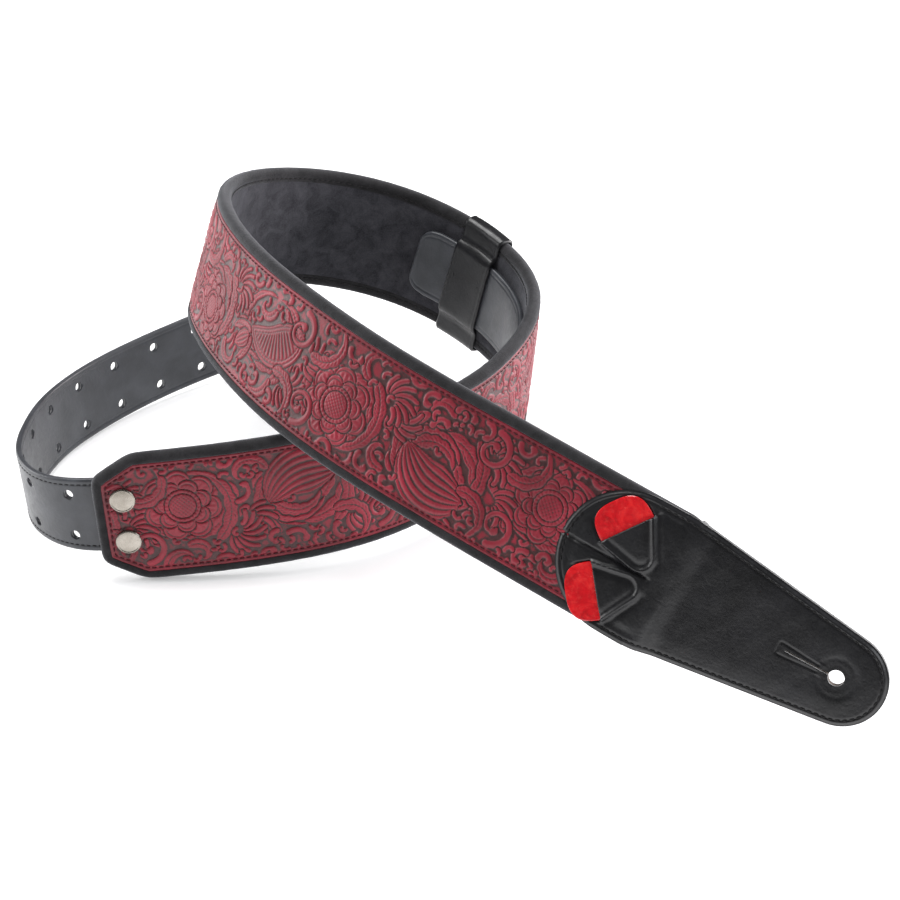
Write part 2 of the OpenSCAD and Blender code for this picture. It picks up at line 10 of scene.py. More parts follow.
import bpy
import numpy as np
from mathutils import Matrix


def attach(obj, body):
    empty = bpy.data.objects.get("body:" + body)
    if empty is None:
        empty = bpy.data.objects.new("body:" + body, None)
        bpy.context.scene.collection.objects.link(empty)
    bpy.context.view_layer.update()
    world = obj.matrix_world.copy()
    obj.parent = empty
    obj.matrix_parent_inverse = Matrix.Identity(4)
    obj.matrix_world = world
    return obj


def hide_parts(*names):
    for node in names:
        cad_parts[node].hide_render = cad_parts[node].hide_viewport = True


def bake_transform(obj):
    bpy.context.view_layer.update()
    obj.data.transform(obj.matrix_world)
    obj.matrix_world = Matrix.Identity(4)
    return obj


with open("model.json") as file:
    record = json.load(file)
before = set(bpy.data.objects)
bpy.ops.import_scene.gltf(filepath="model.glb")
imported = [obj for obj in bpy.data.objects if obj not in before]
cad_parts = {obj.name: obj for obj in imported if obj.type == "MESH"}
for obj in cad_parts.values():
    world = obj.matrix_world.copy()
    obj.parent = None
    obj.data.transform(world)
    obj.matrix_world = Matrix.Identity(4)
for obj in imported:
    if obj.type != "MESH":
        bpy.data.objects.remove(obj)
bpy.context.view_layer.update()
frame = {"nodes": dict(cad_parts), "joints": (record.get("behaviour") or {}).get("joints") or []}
MM = 0.001

# ---- Sizes, as in the CAD
HALF_W = 35.0
BAND_LEN = 937.0
CORNER_LEN = 21.0
END_HALF = 23.0
FACE_TOP = 3.6
RIM_T = 3.5
FACE_INSET = 5.0
LINING_INSET = 7.1
PANEL_TOP = 5.2
PANEL_R = 34.8
PANEL_U = 22.5
TAB_TOP = 2.5
TIP_R = 22.0
TIP_U = -87.0
BUTTON_U = -85.0
BUTTON_D = 7.8
SLIT_LEN = 26.0
SLIT_W = 1.2
PICK_W = 28.0
PICK_LEN = 34.5
PICK_T = 0.9
PICK_ANGLE = 36.5
PICK_SLOPE = 4.0
PICK_SEAT = 20.0
MOUTH = (30.0, 16.5)
MOUTH_SINK = 0.7
POCKET_SHIFT = -1.5
STUD_U = 922.0
ROW = 11.5
ADJUSTER_HALF = 20.0
ADJUSTER_T = 1.4
ADJUSTER_MID = -5.6
ADJUSTER_OUT = 308.0
TAIL_U = 530.0
HOLE_PITCH = 28.0
HOLE_D = 5.2
END_INSET = 19.0
ADJUSTER_SLIT = 12.0
KEEPER_U = 570.0
KEEPER_W = 30.0
FACE_SEAM = 7.0
LINING_SEAM = 5.0
TAB_SEAM = 3.0

# ---- Course of the strap: bend and roll in degrees per 100 mm at even steps
GRID = 8.0
COURSE_FIRST = 50.0
COURSE_STEP = 65.0
FACING = (152.0, 16.5, 26.0)
BEND = (0, 5, 31, 24, 24, 64, 54, 78, 51.5, 71.5, 28.5, 41.5, 30, 9, -22)
ROLL = (0, -3, 0, -12, -2, -6, 5, 9.5, 8, 15.5, -0.5, 18.5, 0, -1, 6.5)
TAB_SET = (4.0, 2.0)
FLEX_SPREAD = 6.0
FREE_GRID = 7.0
FREE_STEP = 28.0
FREE_BEND = (26, 147, 97, 88, 26, 58, 40, 28, 18, 16, 13, 11)
FREE_ROLL = (17, -23, 4, 8, -9, -1, -5, 5, 3, -7, -3, -1)


def smooth(x):
    x = np.clip(x, 0, 1)
    return x * x * (3 - 2 * x)


def ridge(x, width):
    return np.exp(-(x / width) ** 2)


def circle(centre, radius, angles):
    """Places round a centre in a plane, at angles in radians"""
    return np.stack([centre[0] + radius * np.cos(angles), centre[1] + radius * np.sin(angles)], -1)


def arc(centre, radius, first, last, count):
    return circle(centre, radius, np.radians(np.linspace(first, last, count)))


def facing(heading, climb, lean):
    h, c, l = np.radians([heading, climb, lean])
    along = np.array([math.cos(h) * math.cos(c), math.sin(h) * math.cos(c), math.sin(c)])
    level = np.array([-math.sin(h), math.cos(h), 0.0])
    rise = np.cross(along, level)
    return np.array([along, level * math.cos(l) + rise * math.sin(l),
                     rise * math.cos(l) - level * math.sin(l)])


def left_of(leg):
    """Unit steps to the left of steps in a plane"""
    return np.stack([-leg[:, 1], leg[:, 0]], 1) / np.linalg.norm(leg, axis=1, keepdims=True)


def turned(f, degrees, i, j):
    """A frame turned from its axis i towards its axis j"""
    c, s = math.cos(math.radians(degrees)), math.sin(math.radians(degrees))
    out = f.copy()
    out[i] = f[i] * c + f[j] * s
    out[j] = f[j] * c - f[i] * s
    return out


def bent(f, degrees):
    return turned(f, -degrees, 0, 1)


def rolled(f, degrees):
    return turned(f, degrees, 1, 2)


class Course:
    """Places and frames [along, outward, across] at even steps, read smoothly between"""

    def __init__(self, places, frames, grid, first=0.0):
        self.places = np.array(places)
        self.frames = np.array(frames)
        self.grid = grid
        self.first = first

    @classmethod
    def walk(cls, place, f, first, step, bends, rolls, grid, length):
        knots = first + step * np.arange(len(bends))
        places, frames = [place], [f]
        for at in grid * (np.arange(math.ceil(length / grid)) + 0.5):
            bend = np.interp(at, knots, bends) * grid / 200
            roll = np.interp(at, knots, rolls) * grid / 200
            middle = rolled(bent(f, bend), roll)
            place = place + middle[0] * grid
            f = rolled(bent(middle, bend), roll)
            places.append(place)
            frames.append(f)
        return cls(places, frames, grid)

    def at(self, s):
        s = np.asarray(s, float)
        last = len(self.places) - 1
        x = np.clip((s - self.first) / self.grid, 0, last)
        i = np.minimum(x.astype(int), last - 1)
        t = x - i
        ids = [np.clip(i + k, 0, last) for k in (-1, 0, 1, 2)]
        w = [-0.5 * t + t * t - 0.5 * t ** 3, 1 - 2.5 * t * t + 1.5 * t ** 3,
             0.5 * t + 2 * t * t - 1.5 * t ** 3, -0.5 * t * t + 0.5 * t ** 3]
        p = sum(c[..., None] * self.places[k] for c, k in zip(w, ids))
        f = sum(c[..., None, None] * self.frames[k] for c, k in zip(w, ids))
        f = f / np.linalg.norm(f, axis=-1, keepdims=True)
        beyond = s - (self.first + x * self.grid)
        return p + f[..., 0, :] * beyond[..., None], f

    def point(self, s, b, n):
        s, b, n = np.broadcast_arrays(*[np.asarray(v, float) for v in (s, b, n)])
        p, f = self.at(s)
        return p + f[..., 2, :] * b[..., None] + f[..., 1, :] * n[..., None]


joints = {j["name"]: j for j in frame["joints"]}
FLEX = np.array(joints["tab_flex"]["pos_m"]) / MM
band_course = Course.walk(FLEX, facing(*FACING), COURSE_FIRST, COURSE_STEP, BEND, ROLL, GRID,
                          BAND_LEN + GRID)
start_frame = band_course.frames[0]
tab_frame = bent(rolled(start_frame, -TAB_SET[1]), -TAB_SET[0])


def band(u, b, n):
    """World places on the band, or on the button tab where u < 0"""
    u, b, n = np.broadcast_arrays(*[np.asarray(v, float) for v in (u, b, n)])
    on_band = band_course.point(np.maximum(u, 0), b, n) \
        + np.minimum(u, 0)[..., None] * start_frame[0]
    on_tab = FLEX + u[..., None] * tab_frame[0] + b[..., None] * tab_frame[2] \
        + n[..., None] * tab_frame[1]
    w = smooth(0.5 + u / (2 * FLEX_SPREAD))[..., None]
    return on_band * w + on_tab * (1 - w)


# The adjuster's own course: v = 0 at the studs, negative along the lining
TAIL_V = FREE_GRID * math.ceil((TAIL_U - STUD_U) / FREE_GRID)
free_course = Course.walk(band_course.point(STUD_U, 0, ADJUSTER_MID), band_course.at(STUD_U)[1], 0,
                          FREE_STEP, FREE_BEND, FREE_ROLL, FREE_GRID, ADJUSTER_OUT)
lining_v = np.arange(TAIL_V, -0.5, FREE_GRID)
adjuster_course = Course(
    np.concatenate([band_course.point(STUD_U + lining_v, 0, ADJUSTER_MID), free_course.places]),
    np.concatenate([band_course.at(STUD_U + lining_v)[1], free_course.frames]),
    FREE_GRID, TAIL_V)


# ---- Mesh helpers
def volume(mesh):
    """Signed: negative if a closed mesh is inside out"""
    spots = np.empty(3 * len(mesh.vertices))
    mesh.vertices.foreach_get("co", spots)
    mesh.calc_loop_triangles()
    ids = np.empty(3 * len(mesh.loop_triangles), int)
    mesh.loop_triangles.foreach_get("vertices", ids)
    a, b, c = (spots.reshape(-1, 3)[ids[k::3]] for k in range(3))
    return float(np.sum(a * np.cross(b, c)))


def make(name, points, faces, sharp=50.0):
    """A smooth-shaded mesh object from world places in millimetres"""
    mesh = bpy.data.meshes.new(name)
    mesh.from_pydata((np.asarray(points).reshape(-1, 3) * MM).tolist(), [],
                     faces if isinstance(faces, list) else faces.tolist())
    mesh.validate()
    if volume(mesh) < 0:
        mesh.flip_normals()
    mesh.polygons.foreach_set("use_smooth", [True] * len(mesh.polygons))
    mesh.set_sharp_from_angle(angle=math.radians(sharp))
    mesh.update()
    obj = bpy.data.objects.new(name, mesh)
    bpy.context.scene.collection.objects.link(obj)
    return obj


def grid_faces(rows, cols, first=0, wrap=False):
    """Quads over a grid of points stored row by row"""
    i, j = np.meshgrid(np.arange(rows - 1), np.arange(cols if wrap else cols - 1), indexing="ij")
    a = first + i * cols + j
    b = first + i * cols + (j + 1) % cols
    return np.stack([a, b, b + cols, a + cols], -1).reshape(-1, 4)


def slab(name, top, low, sharp=60.0):
    """A closed sheet between two grids of the same shape"""
    rows, cols = top.shape[:2]
    size = rows * cols
    ids = np.arange(size).reshape(rows, cols)
    edge = np.concatenate([ids[0, :-1], ids[:-1, -1], ids[-1, :0:-1], ids[:0:-1, 0]])
    nxt = np.roll(edge, -1)
    faces = np.concatenate([
        grid_faces(rows, cols), grid_faces(rows, cols, size)[:, ::-1],
        np.stack([nxt, edge, edge + size, nxt + size], -1)])
    return make(name, np.concatenate([top.reshape(-1, 3), low.reshape(-1, 3)]), faces, sharp)


def tube(name, rings, sharp=60.0, closed=False):
    """A swept closed section, capped at both ends unless it closes on itself"""
    rows, cols = rings.shape[:2]
    faces = (grid_faces(rows + closed, cols, wrap=True) % (rows * cols)).tolist()
    if not closed:
        faces.append(list(range(cols - 1, -1, -1)))
        faces.append(list(range((rows - 1) * cols, rows * cols)))
    return make(name, rings, faces, sharp)


def running(line):
    """Length run along a line of places at each of them"""
    return np.concatenate([[0], np.cumsum(np.linalg.norm(np.diff(line, axis=0), axis=1))])


STITCH_FILL = 0.74
STITCH_RINGS = 7
STITCH_SIDES = 6


def stitches(name, places, normals, pitch, radius):
    """Single stitches laid along a line of places: slim grains that dip at their ends"""
    size = running(places)
    count = int(size[-1] / pitch)
    t = np.linspace(-1, 1, STITCH_RINGS)
    a = 2 * np.pi * np.arange(STITCH_SIDES) / STITCH_SIDES
    girth = radius * np.sqrt(np.clip(1 - 0.92 * t ** 4, 0, 1))
    lift = radius * (0.75 - 0.6 * t[:, None] ** 4)
    parts = []
    for s in (np.arange(count) + 0.5) * size[-1] / count:
        line = s + t * pitch * STITCH_FILL / 2
        p, n = (np.stack([np.interp(line, size, rows[:, k]) for k in range(3)], -1)
                for rows in (places, normals))
        side = np.cross(n, p[-1] - p[0])
        side /= np.linalg.norm(side, axis=1, keepdims=True)
        spokes = np.cos(a)[None, :, None] * side[:, None] + 0.8 * np.sin(a)[None, :, None] * n[:, None]
        parts.append(((p + n * lift)[:, None] + girth[:, None, None] * spokes).reshape(-1, 3))
    grain = STITCH_RINGS * STITCH_SIDES
    first = grain * np.arange(count)[:, None, None]
    ends = np.array([range(STITCH_SIDES - 1, -1, -1), range(grain - STITCH_SIDES, grain)])
    faces = (grid_faces(STITCH_RINGS, STITCH_SIDES, wrap=True) + first).reshape(-1, 4).tolist() \
        + (ends + first).reshape(-1, STITCH_SIDES).tolist()
    return make(name, np.concatenate(parts), faces, 80)


def cut(obj, *cutters):
    """Subtracts solids from a piece and applies the result"""
    for cutter in cutters:
        mod = obj.modifiers.new("cut", "BOOLEAN")
        mod.operation = "DIFFERENCE"
        mod.solver = "EXACT"
        mod.object = cutter
        done = obj.evaluated_get(bpy.context.evaluated_depsgraph_get())
        done = bpy.data.meshes.new_from_object(done)
        obj.modifiers.remove(mod)
        obj.data = done
        bpy.data.objects.remove(cutter)
    return obj


def hoop(place, f, radius, sides):
    """Places round f's outward axis"""
    a = 2 * np.pi * np.arange(sides) / sides
    return place + radius * (np.cos(a)[:, None] * f[0] + np.sin(a)[:, None] * f[2])


def lathe(name, place, f, profile, sides):
    rings = [hoop(place + f[1] * z, f, r, sides) for r, z in profile]
    return tube(name, np.stack(rings), 25)


def pegs(rows):
    """Round cutters in one object, from (place, frame, radius, low, high, sides) rows"""
    points, faces, first = [], [], 0
    for place, f, radius, low, high, sides in rows:
        points += [hoop(place + f[1] * z, f, radius, sides) for z in (low, high)]
        ids = first + np.arange(sides)
        nxt = np.roll(ids, -1)
        faces += np.stack([ids, nxt, nxt + sides, ids + sides], 1).tolist()
        faces += [ids[::-1].tolist(), (ids + sides).tolist()]
        first += 2 * sides
    return make("round_cut", np.concatenate(points), faces)


def slit(place, f, length, width, low, high):
    """A box cutter from place along f's first axis"""
    corners = [place + f[0] * x + f[2] * y + f[1] * z
               for z in (low, high) for x, y in ((0, -width / 2), (length, -width / 2),
                                                 (length, width / 2), (0, width / 2))]
    sides = [[k, (k + 1) % 4, 4 + (k + 1) % 4, 4 + k] for k in range(4)]
    return make("slit_cut", corners, [[3, 2, 1, 0], [4, 5, 6, 7]] + sides)


# ---- Tooled pattern
# The pattern is drawn into a map over [u, b]: every motif covers what lies under it.
# Heights are in millimetres over the pressed ground.
class Tooling:
    """Height of the tooled leather, and where a figure rather than the ground shows"""

    def __init__(self, u0, u1, half, cell, seed):
        self.u0, self.half, self.cell = u0, half, cell
        self.us = np.arange(u0, u1 + cell / 2, cell)
        self.bs = np.arange(-half, half + cell / 2, cell)
        self.random = np.random.default_rng(seed)
        self.height = np.zeros((len(self.us), len(self.bs)))
        self.figure = np.zeros((len(self.us), len(self.bs)))

    def window(self, low, high):
        """Slices of the map that hold a box, and the places of their cells"""
        area = tuple(slice(int(np.clip((a - start) / self.cell, 0, len(line))),
                           int(np.clip((z - start) / self.cell + 2, 0, len(line))))
                     for a, z, start, line in zip(low, high, (self.u0, -self.half), (self.us, self.bs)))
        return area, np.meshgrid(self.us[area[0]], self.bs[area[1]], indexing="ij")

    def near(self, curve, reach):
        """For the cells near a curve: the place along it and the signed distance off it"""
        area, (u, b) = self.window(curve.min(0) - reach, curve.max(0) + reach)
        leg = np.diff(curve, axis=0)
        size = np.hypot(leg[:, 0], leg[:, 1]) + 1e-9
        start = np.concatenate([[0], np.cumsum(size)])
        best = np.full(u.shape, 1e9)
        along = np.zeros(u.shape)
        off = np.zeros(u.shape)
        for p, d, s, at in zip(curve[:-1], leg, size, start):
            du, db = u - p[0], b - p[1]
            t = np.clip((du * d[0] + db * d[1]) / (s * s), 0, 1)
            ru, rb = du - t * d[0], db - t * d[1]
            r = np.hypot(ru, rb)
            closer = r < best
            best = np.where(closer, r, best)
            along = np.where(closer, at + t * s, along)
            off = np.where(closer, np.where(d[0] * rb - d[1] * ru < 0, -r, r), off)
        return area, along, off, start[-1]

    def lay(self, area, gap, shape, moat=0.9):
        """A motif whose outline is where gap is 0, with a pressed line round it"""
        inside, outside = smooth(gap / 0.45 + 0.5), smooth((gap + moat) / 0.4 + 0.5)
        self.height[area] = self.height[area] * (1 - outside) + shape * inside
        self.figure[area] = np.maximum(self.figure[area] * (1 - outside), inside)

    def free(self, points):
        """Share of the points that lie on the map and on bare ground"""
        i = np.round((points[:, 0] - self.u0) / self.cell).astype(int)
        j = np.round((points[:, 1] + self.half) / self.cell).astype(int)
        rows, cols = self.figure.shape
        on = (i >= 0) & (i < rows) & (j >= 0) & (j < cols)
        return np.mean(on & (self.figure[i.clip(0, rows - 1), j.clip(0, cols - 1)] < 0.3))


def steps(count):
    return np.linspace(0, 1, count)[:, None]


def heading(degrees):
    """A direction on the map and the one to its left"""
    a = np.radians(degrees)
    return np.array([np.cos(a), np.sin(a)]), np.array([-np.sin(a), np.cos(a)])


def spiral(centre, radius, start, turn, tighten=0.75, count=26):
    """Curve that winds in from a radius, with angles in degrees"""
    t = np.linspace(0, 1, count)
    return circle(centre, radius * (1 - tighten * t), np.radians(start + turn * t))


def swell(t, lean):
    """Fullness of a leaf or bud along its length; lean moves its widest place"""
    return np.sin(np.pi * np.clip(t, 0.001, 0.999) ** lean)


def dome(d, half, least=0.3):
    """Share of the way from a motif's middle line to its edge, and a round top over it"""
    k = np.clip(d / np.maximum(half, least), 0, 1)
    return k, np.sqrt(1 - k * k)


def leaf(tool, curve, width, rib=2.1, lobes=0):
    """A leaf along a curve: domed, with a vein, slanting ribs and a beaten edge"""
    area, along, off, length = tool.near(curve, width + 2)
    t = along / length
    half = width * swell(t, 0.55) ** 0.7
    if lobes:
        half = half * (0.74 + 0.26 * np.abs(np.sin(np.pi * lobes * t)))
    d = np.abs(off)
    shape = 0.42 + 0.26 * dome(d, half)[1]
    shape += 0.16 * np.sin(2 * np.pi * (along + 1.1 * d) / rib) * smooth((half - d) / 1.2) * smooth(d / 0.8)
    shape -= 0.34 * ridge(off, 0.45) * smooth((1 - t) / 0.2)
    shape -= 0.26 * ridge(half - d - 1.1, 0.32) * smooth(half / 2.5 - 0.6)
    tool.lay(area, np.where((t > 0.001) & (t < 0.999), half - d, -d - 0.5), shape)


def stem(tool, curve, w0, w1, ball=0):
    """A smooth round stem, tapered from w0 to w1, that may end in a ball"""
    area, along, off, length = tool.near(curve, max(w0, w1, ball) + 2)
    half = w0 + (w1 - w0) * along / length
    if ball:
        half = np.maximum(half, ball * np.sqrt(np.clip(1 - ((length - along) / ball - 1) ** 2, 0, 1)))
    d = np.abs(off)
    k, top = dome(d, half, 0.2)
    tool.lay(area, half - d, 0.45 + 0.3 * top - 0.16 * ridge(k - 0.55, 0.16), 0.7)


def bulb(tool, curve, width, layers):
    """A bud of layers that follow its outline"""
    area, along, off, length = tool.near(curve, width + 2)
    half = width * swell(along / length, 0.8) ** 0.6
    d = np.abs(off)
    k, top = dome(d, half)
    rings = np.cos(np.pi * layers * (1 - k))
    shape = 0.46 + 0.20 * top + 0.24 * rings * smooth((half - d) / 0.8)
    shape += 0.07 * np.sin(2 * np.pi * along / 1.7) * (rings > 0)
    tool.lay(area, half - d, shape)


def comb(tool, centre, radius, start, turn, reach, count, width=1.25):
    """Curved tongues side by side that fan out from an arc"""
    for f in np.arange(count) / (count - 1):
        aim = heading(start + turn * f)[0]
        bend = heading(start + turn * f + 38 * np.sign(turn))[0]
        far = reach * (0.65 + 0.35 * np.sin(np.pi * (0.15 + 0.85 * f)))
        s = steps(9)
        root = np.array(centre) + radius * aim
        stem(tool, root + far * (s * aim * (1 - s) + s * s * bend * 0.9), width, width * 0.8)


def rosette(tool, centre, radius, petals, turn):
    """An open flower: two rows of double-edged petals round a cross-hatched eye"""
    reach = radius * 1.08 + 1
    area, (u, b) = tool.window(np.array(centre) - reach, np.array(centre) + reach)
    x, y = u - centre[0], b - centre[1]
    r = np.hypot(x, y)
    a = np.arctan2(y, x) + turn
    eye = radius * 0.34
    for row, size, phase in ((0, 1.0, 0.0), (1, 0.74, math.pi / petals)):
        lobe = np.abs(np.cos(petals * (a + phase) / 2))
        gap = radius * size * (0.68 + 0.32 * lobe ** 0.5) - r
        petal = 0.50 + 0.10 * row + 0.14 * lobe - 0.40 * ridge(gap - 1.7, 0.45)
        petal -= 0.40 * smooth((0.17 - lobe) / 0.12)
        petal += 0.12 * np.cos(5 * petals * a) * smooth(gap - 2.4)
        tool.lay(area, gap, petal)
    tool.lay(area, eye + 2.3 - r, 0.62 + 0.16 * np.cos(24 * a), 0.6)
    hatch = np.cos(2 * np.pi * x / 2.2) * np.cos(2 * np.pi * y / 2.2)
    tool.lay(area, eye - r, 0.50 + 0.16 * dome(r, eye)[1] + 0.2 * hatch, 0.6)


def paisley(tool, centre, radius, aim):
    """A curled drop with beaded cross ribs in its middle and a smooth double rim"""
    axis, side = heading(aim)
    t = steps(26)
    curve = centre + axis * radius * (2.2 * t - 1.1) + side * radius * 0.45 * np.sin(np.pi * t)
    area, along, off, length = tool.near(curve, radius + 2)
    gap = radius * 0.62 * swell(along / length, 1.4) ** 0.55 - np.abs(off)
    shape = 0.62 - 0.4 * ridge(gap - 1.8, 0.4) - 0.34 * ridge(gap - 3.8, 0.4)
    bead = np.cos(2 * np.pi * along / 2.3) * smooth((gap - 4.0) / 0.6)
    rib = np.cos(2 * np.pi * (along + off * 0.5) / 1.9) * smooth((gap - 1.9) / 0.4) * (gap < 3.7)
    tool.lay(area, gap, shape + 0.20 * bead + 0.10 * rib)


def flower_bud(tool, centre, radius, aim):
    """A cupped flower seen from the side, opening along aim (degrees)"""
    axis, side = heading(aim)
    for s in (-1, 1):
        t = steps(14)
        curve = centre - axis * radius * 0.6 + axis * radius * 1.5 * t \
            + s * side * radius * 0.85 * np.sin(np.pi * t * 0.62)
        leaf(tool, curve, radius * 0.34, rib=1.9)
    bulb(tool, centre - axis * radius * 0.5 + axis * radius * 1.35 * steps(10), radius * 0.46, 4)


def scatter(tool, tries, length, width, curl, kind):
    """Fills bare ground with small curled motifs that keep clear of what is there"""
    span = tool.us[-1] - tool.u0
    random = tool.random.random
    for _ in range(tries):
        at = (tool.u0 + span * random(), tool.half * (2 * random() - 1))
        turn = (1 if random() < 0.5 else -1) * curl * (0.7 + 0.6 * random())
        radius = length * (0.8 + 0.4 * random()) / np.radians(abs(turn)) / 0.62
        curve = spiral(at, radius, 360 * random(), turn)
        off = left_of(np.gradient(curve, axis=0))
        if tool.free(np.concatenate([curve + off * width * k for k in (0, 1.15, -1.15)])) >= 0.9:
            kind(tool, curve, width)


def spread(field, reach):
    """Mean of a field over a square of cells round each"""
    for axis in (0, 1):
        pad = [(reach, reach) if k == axis else (0, 0) for k in (0, 1)]
        total = np.insert(np.cumsum(np.pad(field, pad, mode="edge"), axis=axis), 0, 0, axis=axis)
        low = np.arange(field.shape[axis])
        high = low + 2 * reach + 1
        field = (np.take(total, high, axis=axis) - np.take(total, low, axis=axis)) / (2 * reach + 1)
    return field


PERIOD = 118.0
VINE_START = 36.3
FLIPS = (-1, 1, 1, -1, 1, -1, 1, -1, 1)
# start, turn (degrees), radius and width of the leaves that roll off the vine
ACANTHUS = ((200, -190, 24, 4.6), (250, -150, 16.5, 3.8), (330, 170, 23, 4.4),
            (20, 130, 16, 3.6), (120, 150, 27, 3.4), (60, -140, 27, 3.2))


def vine(tool, base, flip, swing):
    """One period of the waving stem, with acanthus leaves on both of its sides"""
    us = np.linspace(base, base + PERIOD, 44)
    rise = np.sin(2 * np.pi * (us - base) / PERIOD)
    stem(tool, np.stack([us, flip * swing * rise], 1), 1.9, 1.9)
    for s, at in ((flip, base + PERIOD * 0.25), (-flip, base + PERIOD * 0.75)):
        hub = (at, -s * swing * 0.55)
        for start, turn, radius, width in ACANTHUS:
            leaf(tool, spiral(hub, radius, s * start, s * turn, 0.45), width, lobes=6)
        comb(tool, (at - PERIOD * 0.20, s * swing * 0.9), 4.5, s * 60, s * 160, 12, 8)
        comb(tool, (at + PERIOD * 0.24, s * swing * 0.5), 4.0, s * 250, -s * 150, 11, 7)


def blooms(tool, base, flip, swing, k):
    """A rosette, a bud or a paisley, and two curls: the large motifs of one period"""
    half = tool.half
    rosette(tool, (base + PERIOD * 0.26, -swing * flip * (0.4 + 0.4 * (k % 3 == 2))),
            half * (0.60 + 0.04 * (k % 2)), (8, 7, 9)[k % 3], 0.3 * k)
    c = np.array([base + PERIOD * 0.75, flip * swing * 0.62])
    t = steps(18)
    if k % 2 == 0:
        bulb(tool, c + (t - 0.5) * np.array([36.0, -13.0 * flip])
             + np.sin(np.pi * t) * np.array([3.0, 7.0 * flip]), half * 0.44, 7)
    else:
        paisley(tool, c + np.array([-5.0, 0]), 18.0, 160 * flip)
        flower_bud(tool, c + np.array([17.0, -15.0 * flip]), 10.0, -40 * flip)
    for s in (-1, 1):
        curl = (base + PERIOD * (0.5 + 0.07 * s), s * half * 0.52)
        stem(tool, spiral(curl, 9.5, 90 * s, s * 420, 0.8, 40), 1.7, 0.8, 1.9)
        root = (base + PERIOD * (0.5 - 0.08 * s), s * half * 0.70)
        leaf(tool, spiral(root, 13, -60 * s, -s * 170, 0.3), 3.2, lobes=5)


def tooled_pattern(u0, u1, half, cell, seed=11):
    tool = Tooling(u0, u1, half, cell, seed)
    swing = half * 0.42
    places = [(VINE_START + k * PERIOD, FLIPS[k]) for k in range(int((u1 - VINE_START) // PERIOD) + 1)]
    for base, flip in places:
        vine(tool, base, flip, swing)
    for k, (base, flip) in enumerate(places):
        blooms(tool, base, flip, swing, k)
    scatter(tool, 700, 34, 3.4, 150, leaf)
    scatter(tool, 1600, 22, 2.4, 170, leaf)
    scatter(tool, 3000, 12, 1.5, 200, lambda t, c, w: stem(t, c, w, 0.8, w * 1.2))
    scatter(tool, 4000, 4, 0.9, 120, lambda t, c, w: stem(t, c, w, w))
    # matted ground, and a tone that is dark in the hollows
    u, b = np.meshgrid(tool.us, tool.bs, indexing="ij")
    mat = np.sin(u * 3.3 + 1.7 * np.sin(b * 1.9)) * np.sin(b * 3.6 + 1.3 * np.sin(u * 2.2))
    tool.height = tool.height + 0.05 * mat * (1 - tool.figure)
    hollow = smooth((spread(spread(tool.height, 2), 2) - tool.height - 0.015) / 0.10)
    shade = smooth(spread(spread(tool.figure, 3), 3) / 0.4)
    ground = 0.62 * (1 - shade) * (1 - tool.figure)
    tool.tone = np.clip(tool.figure * 1.05 - 0.95 * hollow + ground, 0, 1)
    return tool


# ---- Rim of the band
SLANT = (HALF_W - END_HALF) / CORNER_LEN
CORNER_U = BAND_LEN - CORNER_LEN
CORNER_BACK = math.tan(math.atan(SLANT) / 2)
END_BACK = math.tan((math.pi / 2 - math.atan(SLANT)) / 2)


def rim_line(inset, first, count=(330, 12, 20)):
    """The rim moved inwards, as [u, b] places that match from inset to inset"""
    side, slanted, end = count
    start = np.array([first, HALF_W - inset])
    c1 = np.array([CORNER_U - inset * CORNER_BACK, HALF_W - inset])
    c2 = np.array([BAND_LEN - inset, END_HALF - inset * END_BACK])
    flip = np.array([1, -1])
    return np.concatenate([
        np.linspace(start, c1, side, endpoint=False), np.linspace(c1, c2, slanted, endpoint=False),
        np.linspace(c2, c2 * flip, end, endpoint=False),
        np.linspace(c2, c1, slanted, endpoint=False) * flip, np.linspace(c1, start, side + 1) * flip])


def rounded(line, times):
    for _ in range(times):
        line[1:-1] = 0.25 * line[:-2] + 0.5 * line[1:-1] + 0.25 * line[2:]
    return line


def half_width(u, inset):
    return np.minimum(HALF_W - inset,
                      HALF_W - (u - CORNER_U) * SLANT - inset * math.hypot(1, SLANT))


def rim_depth(u, b):
    """How far inside the band's rim a place lies"""
    slanted = (HALF_W - (u - CORNER_U) * SLANT - np.abs(b)) / math.hypot(1, SLANT)
    return np.minimum(np.minimum(HALF_W - np.abs(b), slanted), BAND_LEN - u)


def outward(u):
    return band_course.at(u)[1][..., 1, :]


def wander(x, seed, period):
    """A smooth, repeatable unevenness of about one unit"""
    phase = np.random.default_rng(seed).random(5) * 6.28
    return sum(np.sin(x * 6.2832 / (period * k) + p) / (1 + 0.3 * i)
               for i, (k, p) in enumerate(zip((1.0, 0.63, 1.7, 2.9, 0.41), phase))) / 2.2


# ---- Band
FACE_FIRST = PANEL_U + PANEL_R - 17
FACE_CELL = 0.45
FACE_LOW = 2.45
PLAIN_MARGIN = 0.34
CAP_HOLLOW_R = 7.3


